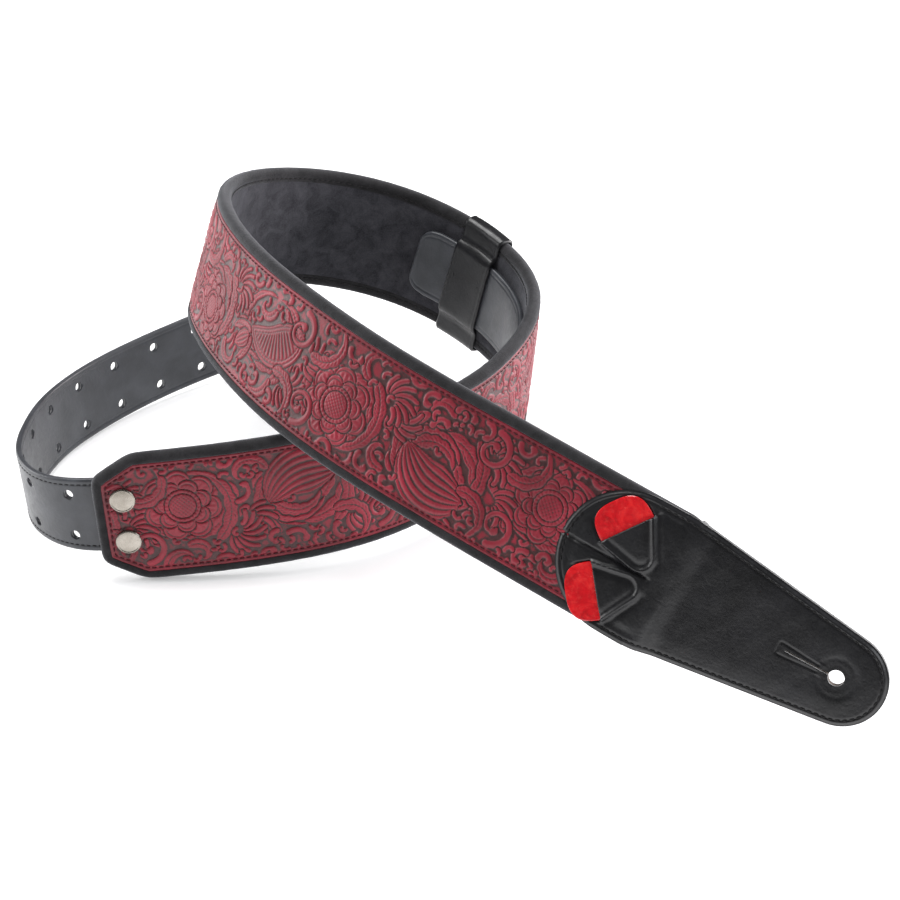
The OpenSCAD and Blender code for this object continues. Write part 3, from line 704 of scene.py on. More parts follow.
def tooled_face():
    tool = tooled_pattern(FACE_FIRST, BAND_LEN - FACE_INSET, HALF_W - FACE_INSET, FACE_CELL)
    u, flat_b = np.meshgrid(tool.us, tool.bs, indexing="ij")
    b = flat_b * half_width(u, FACE_INSET) / (HALF_W - FACE_INSET)
    depth = rim_depth(u, b)
    inside = smooth(depth - FACE_SEAM - 0.6)
    relief = PLAIN_MARGIN + (tool.height - PLAIN_MARGIN) * inside
    for s in (-1, 1):
        ring = np.hypot(u - STUD_U, b - s * ROW) - CAP_HOLLOW_R
        relief = np.where(ring < 0, 0.3, relief - 0.35 * ridge(ring, 0.9))
    puff = 0.30 * smooth((depth - FACE_SEAM) / 9) - 0.42 * ridge(depth - FACE_SEAM, 0.9)
    roll = 0.45 * smooth(1 - (depth - FACE_INSET) / 0.9)
    n = FACE_TOP - 0.42 + relief + puff - roll
    face = slab("tooled_face", band(u, b, n), band(u, b, FACE_LOW))
    tone = tool.tone * inside + 0.52 * (1 - inside)
    layer = face.data.attributes.new("tone", "FLOAT", "POINT")
    layer.data.foreach_set("value", np.tile(tone.ravel(), 2).astype(np.float32))
    return face


# Section of the rolled binding, as [depth inside the rim, n], from the face round to the lining
ROLL_OUTER = ((5.05, 2.7), (5.02, 3.3), (4.6, 3.6), (3.9, 3.76), (3.0, 3.72), (2.1, 3.45),
              (1.3, 2.95), (0.65, 2.2), (0.2, 1.2), (0.0, 0.0), (0.2, -1.2), (0.7, -2.2),
              (1.4, -3.0), (2.4, -3.5), (3.6, -3.62), (4.6, -3.5), (5.0, -3.36), (5.5, -3.5),
              (6.4, -3.52), (7.05, -3.3), (7.1, -2.6))
ROLL_INNER = ((3.6, -2.42), (3.6, 2.42))
ROLL_DEEP = 8.0
ROLL_FIRST = 0.9


def edge_roll():
    rim = rounded(rim_line(0, ROLL_FIRST), 5)
    deep = rim_line(ROLL_DEEP, ROLL_FIRST)
    along = np.arange(len(rim)) * 2.75
    rings = []
    for k, (d, n) in enumerate(ROLL_OUTER + ROLL_INNER):
        line = rim + (deep - rim) * d / ROLL_DEEP
        puff = 0.11 * wander(along + 1.3 * k, 4, 9.0) + 0.05 * wander(along, 9 + k, 4.0)
        lift = puff * (k < len(ROLL_OUTER) - 1) * np.sign(n if n else 1)
        taper = smooth((6 - line[:, 0]) / 5)
        rings.append(band(line[:, 0], line[:, 1] * (1 - 0.026 * taper), (n + lift) * (1 - 0.14 * taper)))
    return tube("edge_roll", np.stack(rings, 1))


def suede_lining():
    us = np.linspace(ROLL_FIRST, BAND_LEN - LINING_INSET, 470)
    u, k = np.meshgrid(us, np.linspace(-1, 1, 37), indexing="ij")
    b = k * half_width(u, LINING_INSET)
    n = -3.45 + 0.10 * wander(u + 2.0 * b, 21, 60) * wander(b * 1.7 + 0.3 * u, 22, 30) \
        + 0.25 * smooth(1 - (rim_depth(u, b) - LINING_INSET) / 1.5)
    return slab("suede_lining", band(u, b, -FACE_LOW), band(u, b, n))


def rim_stitches(name, inset, first, height, flip, radius):
    line = rounded(rim_line(inset, first, (900, 36, 60)), 6)
    return stitches(name, band(line[:, 0], line[:, 1], height), outward(line[:, 0]) * flip, 3.4, radius)


# ---- Button tab and pocket panel
TIP_TURN = 140
DISC_TURN = 42


def side_line(count):
    """Upper edge of the end leather, from the disc's arc to the tip's, as [u, b]"""
    tangent = math.degrees(math.atan2(HALF_W, -TIP_U) + math.acos(TIP_R / math.hypot(TIP_U, HALF_W)))
    tip = arc((TIP_U, 0), TIP_R, tangent, TIP_TURN, 14)
    line = rounded(np.concatenate([
        arc((PANEL_U, 0), PANEL_R, DISC_TURN, 90, 24),
        np.linspace((18, HALF_W - 0.1), (4, HALF_W - 0.1), 6),
        np.linspace((-3, HALF_W - 1.2), tip[0], 20), tip[1:]]), 2)
    size = running(line)
    t = np.linspace(0, size[-1], count)
    return np.stack([np.interp(t, size, line[:, 0]), np.interp(t, size, line[:, 1])], 1)


def end_outline(rows, cols):
    """A grid of [u, b] places that fills the outline of the panel and the tab"""
    top = side_line(rows)
    low = top * (1, -1)
    k = np.linspace(-1, 1, cols)
    near = circle((PANEL_U, 0), PANEL_R, k * math.atan2(top[0, 1], top[0, 0] - PANEL_U))
    far = circle((TIP_U, 0), TIP_R, math.pi - k * math.radians(180 - TIP_TURN))
    s = np.linspace(0, 1, rows)[:, None, None]
    t = ((k + 1) / 2)[None, :, None]
    patch = (1 - t) * low[:, None] + t * top[:, None] + (1 - s) * near[None] + s * far[None]
    patch -= (1 - s) * (1 - t) * low[0] + (1 - s) * t * top[0] \
        + s * (1 - t) * low[-1] + s * t * top[-1]
    return patch[..., 0], patch[..., 1], np.concatenate([top, far[::-1], low[::-1], near])


def outline_depth(u, b, line):
    """Distance from places inside a closed outline to it"""
    best = np.full(u.shape, 1e9)
    for p, q in zip(line, np.roll(line, -1, axis=0)):
        d = q - p
        t = np.clip(((u - p[0]) * d[0] + (b - p[1]) * d[1]) / max(d @ d, 1e-9), 0, 1)
        best = np.minimum(best, np.hypot(u - p[0] - t * d[0], b - p[1] - t * d[1]))
    return best


def in_pocket(s, u, b):
    """Places as [out of the pocket, across the plectrum] from the middle of the mouth"""
    a = math.radians(PICK_ANGLE)
    du, db = u - MOUTH[0], (b - POCKET_SHIFT) * s - MOUTH[1]
    return du * math.cos(a) + db * math.sin(a), -du * math.sin(a) + db * math.cos(a)


TIP_X = -14.0
TIP_ROUND = 7.1
COVER_HALF = 14.6
COVER_SLOPE = math.atan(0.48)


def cover_height(x, y, outer):
    """Raised, rounded triangle over the tip of a plectrum, with a rolled rim, over the panel"""
    c, s = math.cos(COVER_SLOPE), math.sin(COVER_SLOPE)
    y = np.abs(y)
    gap = np.where(-(x - TIP_X) * c - y * s > 0, TIP_ROUND - np.hypot(x - TIP_X, y),
                   (COVER_HALF - y) * c + x * s)
    inside = smooth(gap / 1.6 + 0.5)
    lift = 1.25 * smooth((x + PICK_SEAT + 5) / 17)
    rim = 0.85 * ridge(gap - 0.4, 1.15) - 0.50 * ridge(gap - 3.0, 1.5) * inside
    moat = 0.50 * ridge(gap + 2.1, 1.3) * outer
    return (lift * inside + rim - moat) * smooth((0.25 - x) / 0.5)


def with_pockets(n, u, b):
    """The two covers, and a flat bed under the part of each plectrum that shows"""
    for s in (-1, 1):
        x, y = in_pocket(s, u, b)
        n = n + cover_height(x, y, smooth(((b - POCKET_SHIFT) * s - 5) / 4))
        reach = 14.8 - 0.045 * np.clip(x - 6, 0, 9) ** 2 - np.abs(y)
        floor = PANEL_TOP - MOUTH_SINK - 0.28 + x * math.tan(math.radians(PICK_SLOPE))
        bed = smooth(reach / 0.8) * smooth((x + 0.25) / 0.5)
        n = np.where(bed > 0, np.minimum(n, floor * bed + n * (1 - bed)), n)
    return n


def button_dent(u, b):
    """Pressed ring round the button hole and pressed frame round the slit"""
    r = np.hypot(u - BUTTON_U, b)
    ring = ridge(r - 8.8, 1.6) * smooth((np.abs(b) - 2.6 + 9 * (u < BUTTON_U)) / 0.8)
    half = 1.7 + 1.3 * smooth((u - BUTTON_U - 8) / 22)
    far = BUTTON_U + SLIT_LEN + 3.5
    run = smooth(u - BUTTON_U - 8.5) * smooth((far + 0.4 - u) / 0.8)
    sides = ridge(np.abs(b) - half, 0.5) * run
    end = ridge(u - far, 0.5) * smooth((half + 0.4 - np.abs(b)) / 0.6)
    return 0.38 * np.maximum(0.55 * ring, np.maximum(sides, end)) + 0.25 * smooth((8.5 - r) / 3)


def end_relief(u, b, depth):
    """Height of the end leather over the middle of the band"""
    base = TAB_TOP + 0.15 + (PANEL_TOP - TAB_TOP - 0.35) * smooth((u + 9) / 17)
    n = base + 0.55 * smooth(depth / 12)
    n = n - 1.5 * (1 - smooth(depth / 2.6)) * np.where(u > 8, 0.55, 1.0)
    # pressed seam inside the disc's rim and the tab's edge, and a hollow behind the disc's
    n = n - 0.38 * ridge(depth - TAB_SEAM, 0.75) + 0.14 * ridge(depth - 1.7, 0.7)
    n = n - 0.35 * smooth((u - 2) / 8) * ridge(depth - 6.5, 2.4)
    # pressed line between the two pockets
    n = n - 1.1 * smooth((u - 9) / 3) * ridge(b - POCKET_SHIFT, 0.8)
    # soft folds where the panel runs down to the tab
    n = n + 0.16 * ridge(u - 3, 3.0) * wander(b, 31, 30) - 0.20 * ridge(u + 7, 4.0)
    n = with_pockets(n, u, b) - button_dent(u, b)
    return n + 0.05 * wander(u * 0.8 + b * 0.5, 33, 17) * smooth((depth - 2) / 4)


def button_cut(low, high):
    place = FLEX + tab_frame[0] * BUTTON_U
    hole = pegs([(place, tab_frame, BUTTON_D / 2, low, high, 56)])
    return hole, slit(place, tab_frame, SLIT_LEN, SLIT_W, low, high)


BACK_END = 3.5


def back_top(u):
    """Top of the tab's back leather, which the end leather meets at the edge"""
    return -1.25 - 2.35 * smooth((u + BACK_END) / BACK_END)


def end_leather():
    u, b, line = end_outline(300, 122)
    depth = outline_depth(u, b, line)
    n = end_relief(u, b, depth)
    low = 0.95 + 2.15 * smooth((u + 1.5) / 4) + 0.75 * smooth((u - 39) / 2)
    # the leather is turned down round the tab's edges
    low = np.where((depth < 1.5) & (u < 1.8), back_top(u) + 0.12, np.minimum(low, n - 0.35))
    piece = slab("end_leather", band(u, b, n), band(u, b, low), 70)
    return cut(piece, *button_cut(-6, 9))


def tab_back():
    u, b, line = end_outline(200, 60)
    keep = u[:, u.shape[1] // 2] < BACK_END
    u, b = u[keep], b[keep]
    depth = outline_depth(u, b, line)
    low = -TAB_TOP - 0.25 - 0.9 * smooth((u + 3) / 5) + 0.9 * (1 - smooth(depth / 2.2)) \
        + 0.2 * ridge(depth - 3.2, 0.7)
    top = np.maximum(back_top(u), low + 0.25)
    piece = slab("tab_back", band(u, b, top), band(u, b, low), 70)
    return cut(piece, *button_cut(-9, 6))


def seam_stitches(name, line):
    u, b = line.T
    n = end_relief(u, b, np.full(u.shape, TAB_SEAM))
    up = band(u, b, n + 1) - band(u, b, n)
    return stitches(name, band(u, b, n + 0.02), up, 3.3, 0.34)


def tab_stitches():
    """The seam round the tab, inside its edge"""
    line = side_line(400)
    tip = arc((TIP_U, 0), TIP_R, TIP_TURN, 360 - TIP_TURN, 60)
    line = np.concatenate([line[:-1], tip, (line * (1, -1))[-2::-1]])
    line = line + left_of(np.gradient(line, axis=0)) * TAB_SEAM
    return seam_stitches("tab_stitches", line[line[:, 0] < 22])


def panel_stitches():
    """The seam along the disc's rim, but for where the plectrums cover it"""
    line = arc((PANEL_U, 0), PANEL_R - TAB_SEAM, -62, 62, 200)
    for s in (-1, 1):
        x, y = in_pocket(s, line[:, 0], line[:, 1])
        line = line[(x <= -1) | (np.abs(y) >= 15.2)]
    return seam_stitches("panel_stitches", line)


# ---- Plectrums
def pocket_axes(s):
    """Mouth of a pocket and its axes out of it, off the plectrum and across it"""
    a, slope = math.radians(PICK_ANGLE), math.radians(PICK_SLOPE)
    t, l, c = start_frame
    out = t * math.cos(a) * math.cos(slope) + c * s * math.sin(a) * math.cos(slope) \
        + l * math.sin(slope)
    across = -t * s * math.sin(a) + c * math.cos(a)
    up = np.cross(across, out) * (1 if np.dot(np.cross(across, out), l) > 0 else -1)
    mouth = band(MOUTH[0], s * MOUTH[1] + POCKET_SHIFT, PANEL_TOP - MOUTH_SINK)
    return mouth, out, up, across


def pick_outline():
    """A plectrum as a closed outline, from its tip at 0 to its back"""
    x = PICK_LEN * (0.5 - 0.5 * np.cos(np.pi * np.linspace(0, 1, 96)))
    tip_r = 3.5
    flank = np.where(x < tip_r, np.sqrt(np.clip(tip_r ** 2 - (tip_r - x) ** 2, 0, None)) * 1.15,
                     3.2 + 0.60 * x)
    shoulder = np.clip(x - 17, 0, None) / (PICK_LEN - 17)
    back = (PICK_W / 2) * np.clip(1 - shoulder ** 4, 0, 1) ** 0.36
    y = rounded(np.minimum(np.minimum(flank, PICK_W / 2), back), 6)
    y[0] = y[-1] = 0
    return np.concatenate([np.stack([x, y], 1), np.stack([x, -y], 1)[-2:0:-1]])


PICK_MIDDLE = (20.0, 0.0)
# height and size of the shells that make a plectrum's flat back, round rim and domed face
PICK_SHELLS = ((0.0, 0.3), (0.0, 0.94), (0.12, 0.985), (0.45, 1.0), (0.78, 0.985),
               (PICK_T - 0.02, 0.95), (PICK_T + 0.03, 0.88), (PICK_T + 0.05, 0.6),
               (PICK_T + 0.06, 0.25))


def plectrum(name, s):
    line = pick_outline()
    mouth, out, up, across = pocket_axes(s)
    rings = []
    for z, k in PICK_SHELLS:
        q = PICK_MIDDLE + (line - PICK_MIDDLE) * k
        rings.append(mouth + (q[:, :1] - PICK_SEAT) * out + q[:, 1:] * across * s + z * up)
    return tube(name, np.stack(rings), 40)


# ---- Studs
CAP_SEAT = FACE_TOP + 0.1
# radius and height along the stud
CAP_PROFILE = ((1.6, -6.5), (2.28, -6.5), (2.28, CAP_SEAT), (5.9, CAP_SEAT),
               (6.45, CAP_SEAT + 0.25), (6.5, CAP_SEAT + 0.7), (6.35, CAP_SEAT + 1.2),
               (6.0, CAP_SEAT + 1.52), (5.6, CAP_SEAT + 1.62), (5.2, CAP_SEAT + 1.48),
               (4.8, CAP_SEAT + 1.54), (2.6, CAP_SEAT + 1.70), (0.4, CAP_SEAT + 1.74))
HEAD = -9.65
SCREW_PROFILE = ((0.3, HEAD - 0.02), (3.2, HEAD - 0.02), (4.6, HEAD + 0.25), (5.0, HEAD + 0.7),
                 (5.0, HEAD + 1.28), (1.38, HEAD + 1.28), (1.38, 0.6), (0.9, 1.0), (0.2, 1.05))
SLOT_LEN = 12.0
SLOT_W = 1.1


def stud_at(s):
    p, f = band_course.at(STUD_U)
    return p + f[2] * s * ROW, f


def stud_cap(name, s):
    return lathe(name, *stud_at(s), CAP_PROFILE, 64)


def screw(name, s):
    place, f = stud_at(s)
    slot = slit(place - f[0] * SLOT_LEN / 2, f, SLOT_LEN, SLOT_W, HEAD - 1, HEAD + 0.55)
    return cut(lathe(name, place, f, SCREW_PROFILE, 48), slot)


# ---- Adjuster
THROUGH = (-4, 4)


def adjuster_half(v):
    return ADJUSTER_HALF - np.interp(v - TAIL_V, [0, 3, 6, 12], [8, 3.5, 1.2, 0]) \
        - np.interp(ADJUSTER_OUT - v, [0, 2, 6, 12, 16], [10, 6.5, 2.6, 0.5, 0])


def adjuster_layer(name, side):
    """One leather layer: side +1 towards the leather face, -1 the other"""
    vs = np.concatenate([np.arange(TAIL_V, TAIL_V + 12, 0.8),
                         np.arange(TAIL_V + 12, ADJUSTER_OUT - 12, 1.6),
                         np.arange(ADJUSTER_OUT - 12, ADJUSTER_OUT + 0.01, 0.8)])
    edges = np.concatenate([np.linspace(-1, -0.72, 15), np.linspace(-0.68, 0.68, 30),
                            np.linspace(0.72, 1, 15)])
    v, k = np.meshgrid(vs, edges, indexing="ij")
    b = k * adjuster_half(v)
    depth = np.minimum(np.minimum(adjuster_half(v) - np.abs(b), ADJUSTER_OUT - v), v - TAIL_V)
    skin = 0.1 + ADJUSTER_T - 0.55 * (1 - smooth(depth / 1.1)) ** 2 \
        - 0.24 * ridge(depth - 3.0, 0.5) + 0.08 * ridge(depth - 1.9, 0.7) \
        + 0.03 * wander(v + 2 * b, 41, 40)
    sheets = [adjuster_course.point(v, b, side * skin), adjuster_course.point(v, b, side * 0.04)]
    piece = slab(name, *sheets[::side])
    rows = []
    for at in HOLE_PITCH * np.arange(-5, 10):
        p, f = adjuster_course.at(at)
        rows += [(p + f[2] * s * ROW, f, HOLE_D / 2, *THROUGH, 32) for s in (-1, 1)]
    p, f = adjuster_course.at(ADJUSTER_OUT - END_INSET)
    rows.append((p, f, BUTTON_D / 2, *THROUGH, 48))
    return cut(piece, pegs(rows), slit(p - f[0] * ADJUSTER_SLIT, f, ADJUSTER_SLIT, SLIT_W, *THROUGH))


def adjuster_stitches(name, s):
    v = np.arange(14, ADJUSTER_OUT - 18, 1.0)
    places = adjuster_course.point(v, s * (ADJUSTER_HALF - 3.0), 0.1 + ADJUSTER_T - 0.22)
    return stitches(name, places, adjuster_course.at(v)[1][:, 1], 3.2, 0.28)


# ---- Keeper
KEEPER_FACE = FACE_TOP + 0.6
KEEPER_SIDE = HALF_W + 0.45
KEEPER_BACK = -RIM_T - 0.85
KEEPER_OVER = ADJUSTER_MID - ADJUSTER_T - 0.7
KEEPER_INNER = ADJUSTER_HALF + 1.0
KEEPER_T = 1.35


def soft_loop(corners, radius, per=10):
    """A closed line of even steps through corners that are rounded off"""
    def near(q, p):
        return q + (p - q) * min(0.5, radius / np.linalg.norm(p - q))

    line = []
    for i, q in enumerate(corners):
        before, after = corners[i - 1], corners[(i + 1) % len(corners)]
        a, c, d = near(q, before), near(q, after), near(after, q)
        for t in np.linspace(0, 1, per):
            line.append((1 - t) ** 2 * a + 2 * t * (1 - t) * q + t * t * c)
        count = int(np.linalg.norm(d - c) / 2.0)
        line += [c + (d - c) * t for t in np.arange(1, count) / max(1, count)]
    return np.array(line)


def keeper():
    inner = soft_loop(np.array([
        [-KEEPER_SIDE, KEEPER_BACK], [-KEEPER_INNER - 3, KEEPER_BACK], [-KEEPER_INNER, KEEPER_OVER],
        [KEEPER_INNER, KEEPER_OVER], [KEEPER_INNER + 3, KEEPER_BACK], [KEEPER_SIDE, KEEPER_BACK],
        [KEEPER_SIDE, KEEPER_FACE], [-KEEPER_SIDE, KEEPER_FACE]]), 3.4)
    normal = left_of(np.roll(inner, 1, axis=0) - np.roll(inner, -1, axis=0))
    place = np.arange(len(inner)) * 2.0
    ks = np.linspace(-1, 1, 33)
    rings = []
    for k in ks:
        edge = 1 - abs(k)
        thick = KEEPER_T - 0.75 * (1 - smooth(edge / 0.07)) ** 2 - 0.28 * ridge((edge - 0.16) / 0.03, 1) \
            + 0.10 * wander(place + 9 * k, 51, 37)
        line = inner + normal * thick[:, None]
        u = KEEPER_U + k * KEEPER_W / 2 + 0.25 * wander(place, 52, 60) * (1 if k > 0 else -1)
        rings.append(band(u, line[:, 0], line[:, 1]))
    for k in (1, -1):
        rings.append(band(KEEPER_U + k * KEEPER_W / 2, inner[:, 0], inner[:, 1]))
    return tube("keeper", np.stack(rings), closed=True)


def keeper_stitches(name, s):
    us = np.linspace(KEEPER_U - 11, KEEPER_U + 11, 40)
    places = band(us, s * 4.0, KEEPER_FACE + KEEPER_T + 0.01)
    return stitches(name, places, outward(us), 2.6, 0.3)


# ---- Materials
class Look:
    """A procedural material built up from noise on object coordinates"""

    def __init__(self, name, base, rough=0.5, **more):
        self.mat = bpy.data.materials.new(name)
        self.mat.use_nodes = True
        self.shader = self.mat.node_tree.nodes["Principled BSDF"]
        self.place = self.node("TexCoord", "Object")
        self.normal = None
        self.put(Base_Color=(*base, 1), Roughness=rough, **more)

    def feed(self, socket, value):
        if isinstance(value, bpy.types.NodeSocket):
            self.mat.node_tree.links.new(value, socket)
        else:
            socket.default_value = value

    def put(self, **values):
        for key, value in values.items():
            self.feed(self.shader.inputs[key.replace("_", " ")], value)

    def node(self, kind, out, settings=(), **values):
        """One output of a new node; values go to its inputs by name, or by number after an i"""
        node = self.mat.node_tree.nodes.new("ShaderNode" + kind)
        for key, value in settings:
            setattr(node, key, value)
        for key, value in values.items():
            self.feed(node.inputs[int(key[1:]) if key[1:].isdigit() else key], value)
        return node.outputs[out]

    def noise(self, scale, detail=4.0, rough=0.55, warp=0.0):
        return self.node("TexNoise", "Fac", Vector=self.place, Scale=scale, Detail=detail,
                         Roughness=rough, Distortion=warp)

    def cells(self, scale):
        return self.node("TexVoronoi", "Distance", Vector=self.place, Scale=scale)

    def ramp(self, factor, *stops):
        out = self.node("ValToRGB", "Color", Fac=factor)
        elements = out.node.color_ramp.elements
        for i, (at, colour) in enumerate(stops):
            stop = elements[i] if i < 2 else elements.new(at)
            stop.position = at
            stop.color = (*(colour if isinstance(colour, tuple) else (colour,) * 3), 1)
        return out

    def mix(self, factor, a, b):
        return self.node("Mix", 2, [("data_type", "RGBA")], i0=factor, i6=a, i7=b)

    def math(self, kind, a, b):
        return self.node("Math", 0, [("operation", kind)], i0=a, i1=b)

    def bump(self, height, distance, strength=1.0):
        before = {"Normal": self.normal} if self.normal else {}
        self.normal = self.node("Bump", "Normal", Distance=distance * MM, Strength=strength,
                                Height=height, **before)
        self.put(Normal=self.normal)


def tooled_look(name):
    look = Look(name, (0.25, 0.01, 0.02), Specular_IOR_Level=0.40, Coat_Weight=0.20,
                Coat_Roughness=0.32, Sheen_Weight=0.05, Sheen_Roughness=0.45)
    tone = look.node("Attribute", "Fac", [("attribute_name", "tone")])
    fine = look.noise(900, 5, 0.6)
    red = look.ramp(look.noise(46, 3), (0.30, (0.150, 0.004, 0.013)), (0.52, (0.215, 0.006, 0.019)),
                    (0.72, (0.285, 0.011, 0.029)))
    dark = look.ramp(look.noise(300, 4), (0.3, (0.030, 0.008, 0.009)), (0.7, (0.070, 0.021, 0.022)))
    patch = look.math("ADD", look.math("MULTIPLY", look.noise(210, 4), 0.5), -0.22)
    share = look.ramp(look.math("ADD", tone, patch), (0.14, 0.0), (0.66, 1.0))
    look.put(Base_Color=look.mix(share, dark, red),
             Roughness=look.ramp(fine, (0.3, 0.40), (0.7, 0.58)))
    look.bump(look.cells(1500), 0.05, 0.5)
    look.bump(fine, 0.10, 0.6)
    return look.mat


def suede_look(name, base, light, scale, sheen):
    look = Look(name, base, 0.92, Sheen_Weight=sheen, Sheen_Roughness=0.42,
                Sheen_Tint=(0.86, 0.88, 0.95, 1), Specular_IOR_Level=0.18)
    fibre = look.noise(1500 * scale, 4, 0.7)
    colour = look.ramp(look.noise(95 * scale, 5, 0.62, 0.6), (0.34, base), (0.68, light))
    grain = look.ramp(fibre, (0.25, tuple(0.62 * v for v in base)), (0.8, tuple(1.25 * v for v in light)))
    look.put(Base_Color=look.mix(0.42, colour, grain))
    look.bump(fibre, 0.22, 0.75)
    look.bump(look.noise(340 * scale, 5, 0.6), 0.30, 0.6)
    return look.mat


def leather_look(name, base, light, rough, grain, depth, coat):
    look = Look(name, base, Specular_IOR_Level=0.45, Coat_Weight=coat, Coat_Roughness=0.30)
    wrinkle = look.noise(230, 6, 0.62, 1.2)
    look.put(Base_Color=look.ramp(look.noise(55, 4, 0.5, 0.4), (0.35, base), (0.70, light)),
             Roughness=look.ramp(wrinkle, (0.3, rough[0]), (0.7, rough[1])))
    look.bump(look.cells(grain), depth, 0.55)
    look.bump(wrinkle, depth * 2.2, 0.55)
    look.bump(look.noise(2600, 3), depth * 0.5, 0.5)
    return look.mat


def thread_look(name, base, light):
    look = Look(name, base, 0.55, Specular_IOR_Level=0.25)
    look.put(Base_Color=look.ramp(look.noise(1400, 3), (0.3, base), (0.7, light)))
    look.bump(look.noise(2200, 2, 0.5, 2.0), 0.10, 0.7)
    return look.mat


def pick_look(name):
    look = Look(name, (0.6, 0.03, 0.02), Subsurface_Weight=0.18, Subsurface_Radius=(0.9, 0.2, 0.1),
                Subsurface_Scale=0.0012, Coat_Weight=0.35, Coat_Roughness=0.08)
    fleck = look.noise(420, 4, 0.6)
    colour = look.ramp(look.noise(95, 6, 0.6, 1.8), (0.28, (0.33, 0.002, 0.005)),
                       (0.50, (0.54, 0.004, 0.009)), (0.74, (0.70, 0.018, 0.018)))
    look.put(Base_Color=look.mix(look.ramp(fleck, (0.5, 0.0), (0.85, 0.3)), colour,
                                 (0.80, 0.07, 0.05, 1)),
             Roughness=look.ramp(fleck, (0.3, 0.14), (0.7, 0.28)))
    look.bump(look.noise(150, 3), 0.05, 0.5)
    return look.mat


def metal_look(name):
    look = Look(name, (0.60, 0.585, 0.55), Metallic=1.0)
    scratch = look.noise(480, 5, 0.7, 2.5)
    look.put(Base_Color=look.ramp(look.noise(130, 4), (0.3, (0.27, 0.245, 0.21)),
                                  (0.7, (0.40, 0.37, 0.33))),
             Roughness=look.ramp(scratch, (0.3, 0.17), (0.7, 0.36)))
    look.bump(scratch, 0.02, 0.4)
    return look.mat


def foam_look(name):
    look = Look(name, (0.45, 0.43, 0.38), 0.95)
    look.put(Base_Color=look.ramp(look.cells(900), (0.0, (0.30, 0.29, 0.25)), (0.6, (0.56, 0.54, 0.47))))
    look.bump(look.cells(1100), 0.35, 0.9)
    return look.mat


def webbing_look(name):
    look = Look(name, (0.02, 0.02, 0.022), 0.8)
    weave = look.node("TexWave", "Fac", Vector=look.place, Scale=260, Distortion=1.5)
    look.put(Base_Color=look.ramp(weave, (0.2, (0.010, 0.010, 0.012)), (0.8, (0.045, 0.045, 0.050))))
    look.bump(weave, 0.25, 0.8)
    look.bump(look.noise(1300, 3), 0.12, 0.6)
    return look.mat


LOOKS = {name: kind(name, *settings) for name, kind, *settings in (
    ("tooled_leather", tooled_look),
    ("foam", foam_look),
    ("webbing", webbing_look),
    ("suede", suede_look, (0.009, 0.009, 0.012), (0.060, 0.059, 0.068), 1.0, 0.22),
    ("binding", suede_look, (0.009, 0.0085, 0.009), (0.030, 0.029, 0.031), 1.3, 0.30),
    ("red_thread", thread_look, (0.030, 0.004, 0.007), (0.070, 0.009, 0.014)),
    ("black_thread", thread_look, (0.006, 0.006, 0.006), (0.016, 0.015, 0.016)),
    ("black_leather", leather_look, (0.0055, 0.0055, 0.0065), (0.011, 0.011, 0.013),
     (0.27, 0.44), 620, 0.09, 0.18),
    ("leatherboard", leather_look, (0.10, 0.06, 0.035), (0.16, 0.10, 0.06), (0.6, 0.8), 500, 0.10, 0),
    ("red_celluloid", pick_look),
    ("nickel", metal_look),
    ("grey_leather", leather_look, (0.030, 0.032, 0.038), (0.052, 0.055, 0.064),
     (0.30, 0.46), 520, 0.08, 0.15))}


def finish(piece, slot, *nodes):
    piece.data.materials.clear()
    piece.data.materials.append(LOOKS[slot])
    if nodes:
        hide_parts(*nodes)


def wear(piece, slot, body, *nodes):
    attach(piece, body)
    finish(piece, slot, *nodes)


def over_flex(piece, slot, *nodes):
    """A skin that runs over the flex line; it is baked in place and not attached to any body"""
    start, end = (tuple(band(u, 0, 0) * MM) for u in (7.0, -7.0))
    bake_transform(piece)
    finish(piece, slot, *nodes)


# ---- The strap
wear(tooled_face(), "tooled_leather", "band", "front_leather")
wear(edge_roll(), "binding", "band", "edge_binding")
wear(suede_lining(), "suede", "band", "back_lining")
wear(rim_stitches("face_stitches", FACE_SEAM, PANEL_U + 19, FACE_TOP - 0.25, 1, 0.34),
     "red_thread", "band", "face_seam_thread")
wear(rim_stitches("lining_stitches", LINING_SEAM, 6, -RIM_T - 0.02, -1, 0.32),
     "black_thread", "band", "lining_seam_thread")

over_flex(end_leather(), "black_leather", "pocket_panel", "tab_leather")
over_flex(tab_back(), "grey_leather", "tab_lining")
over_flex(tab_stitches(), "black_thread", "tab_seam_thread")
wear(panel_stitches(), "black_thread", "band", "pocket_seam_thread")

wear(adjuster_layer("adjuster_top", 1), "grey_leather", "band", "adjuster_face")
wear(adjuster_layer("adjuster_under", -1), "grey_leather", "band", "adjuster_lining")
wear(keeper(), "black_leather", "keeper", "keeper_loop")
for side, s in (("upper", 1), ("lower", -1)):
    wear(plectrum(side + "_pick", s), "red_celluloid", side + "_plectrum", "pick_" + side)
    wear(screw("screw_" + side, s), "nickel", side + "_screw", "stud_screw_" + side)
for tag, s in (("_a", 1), ("_b", -1)):
    wear(stud_cap("stud_cap" + tag, s), "nickel", "band", "stud_caps")
    wear(adjuster_stitches("adjuster_stitch" + tag, s), "black_thread", "band",
         "adjuster_edge_thread")
    wear(keeper_stitches("keeper_stitch" + tag, -s), "black_thread", "keeper", "keeper_thread")

HIDDEN = {"foam_core": "foam", "load_webbing": "webbing", "tab_stiffener": "leatherboard",
          "pocket_backing": "leatherboard", "stud_washers": "nickel"}
for node, slot_name in HIDDEN.items():
    for holder in frame["nodes"][node].material_slots:
        holder.link = "OBJECT"
        holder.material = LOOKS[slot_name]


# ---- Floor, light and camera, in metres
def place(name, data):
    obj = bpy.data.objects.new(name, data)
    bpy.context.scene.collection.objects.link(obj)
    return obj


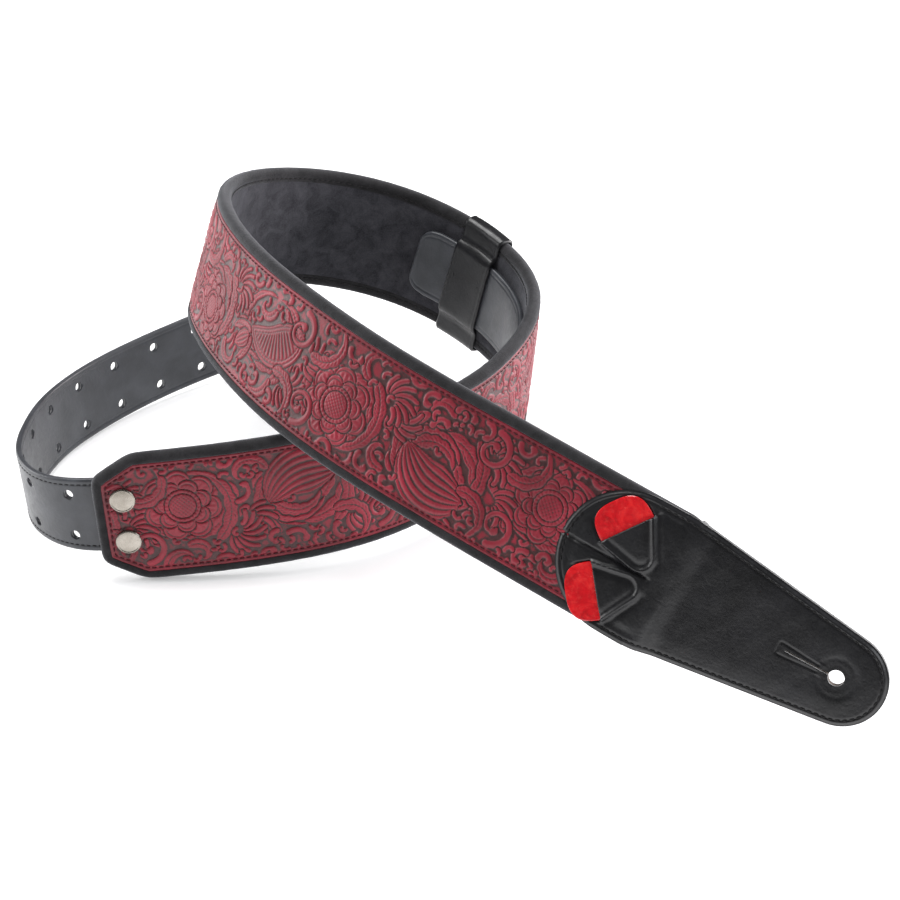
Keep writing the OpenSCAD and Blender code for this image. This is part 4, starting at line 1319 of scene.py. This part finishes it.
FLOOR_Z = -0.0006
floor_mesh = bpy.data.meshes.new("floor")
floor_mesh.from_pydata([(x, y, FLOOR_Z) for x, y in ((-6, -4), (6, -4), (6, 8), (-6, 8))], [],
                       [(0, 1, 2, 3)])
floor_mesh.materials.append(Look("paper", (0.90, 0.90, 0.905), 0.85, Emission_Color=(1, 1, 1, 1),
                                 Emission_Strength=0.22).mat)
place("floor", floor_mesh)

# a bright tent for the diffuse light, which glossy leather mirrors only dimly
TENT_DIFFUSE = 0.72
TENT_GLOSSY = 0.10
world = bpy.data.worlds.new("studio")
world.use_nodes = True
sky = world.node_tree.nodes["Background"]
sky.inputs["Color"].default_value = (1, 1, 1, 1)
ray_kind = world.node_tree.nodes.new("ShaderNodeLightPath").outputs["Is Glossy Ray"]
strength = world.node_tree.nodes.new("ShaderNodeMapRange")
strength.inputs["To Min"].default_value = TENT_DIFFUSE
strength.inputs["To Max"].default_value = TENT_GLOSSY
world.node_tree.links.new(ray_kind, strength.inputs["Value"])
world.node_tree.links.new(strength.outputs["Result"], sky.inputs["Strength"])
bpy.context.scene.world = world


def lamp(name, at, aim, size, power, tint=(1, 1, 1)):
    data = bpy.data.lights.new(name, "AREA")
    data.shape = "RECTANGLE"
    data.size, data.size_y = size
    data.energy = power
    data.color = tint
    obj = place(name, data)
    obj.location = at
    ray = np.array(aim, float) - np.array(at, float)
    pitch = math.acos(-ray[2] / np.linalg.norm(ray))
    obj.rotation_euler = (pitch, 0, math.atan2(ray[1], ray[0]) - math.pi / 2)


lamp("key", (-0.35, 0.45, 1.35), (0, 0, 0.03), (1.0, 0.9), 20)
lamp("left", (-1.45, 0.35, 0.42), (-0.05, 0.02, 0.08), (1.1, 0.7), 13)
lamp("right", (1.3, -0.35, 0.75), (0.05, -0.02, 0.05), (0.7, 0.9), 7, (0.93, 0.96, 1.0))
lamp("far", (1.40, 0.50, 0.36), (0.20, -0.02, 0.07), (0.7, 0.5), 24, (1.0, 0.95, 0.96))

CAMERA_AT = (0.013080, -1.065595, 0.706258)
CAMERA_DROP = 0.55826
LENS = 97.45
view = bpy.data.cameras.new("camera")
view.lens = LENS
view.sensor_width = 36
camera = place("camera", view)
camera.location = CAMERA_AT
camera.rotation_euler = (math.pi / 2 - CAMERA_DROP, 0, 0)
bpy.context.scene.camera = camera
bpy.context.scene.view_settings.view_transform = "Standard"
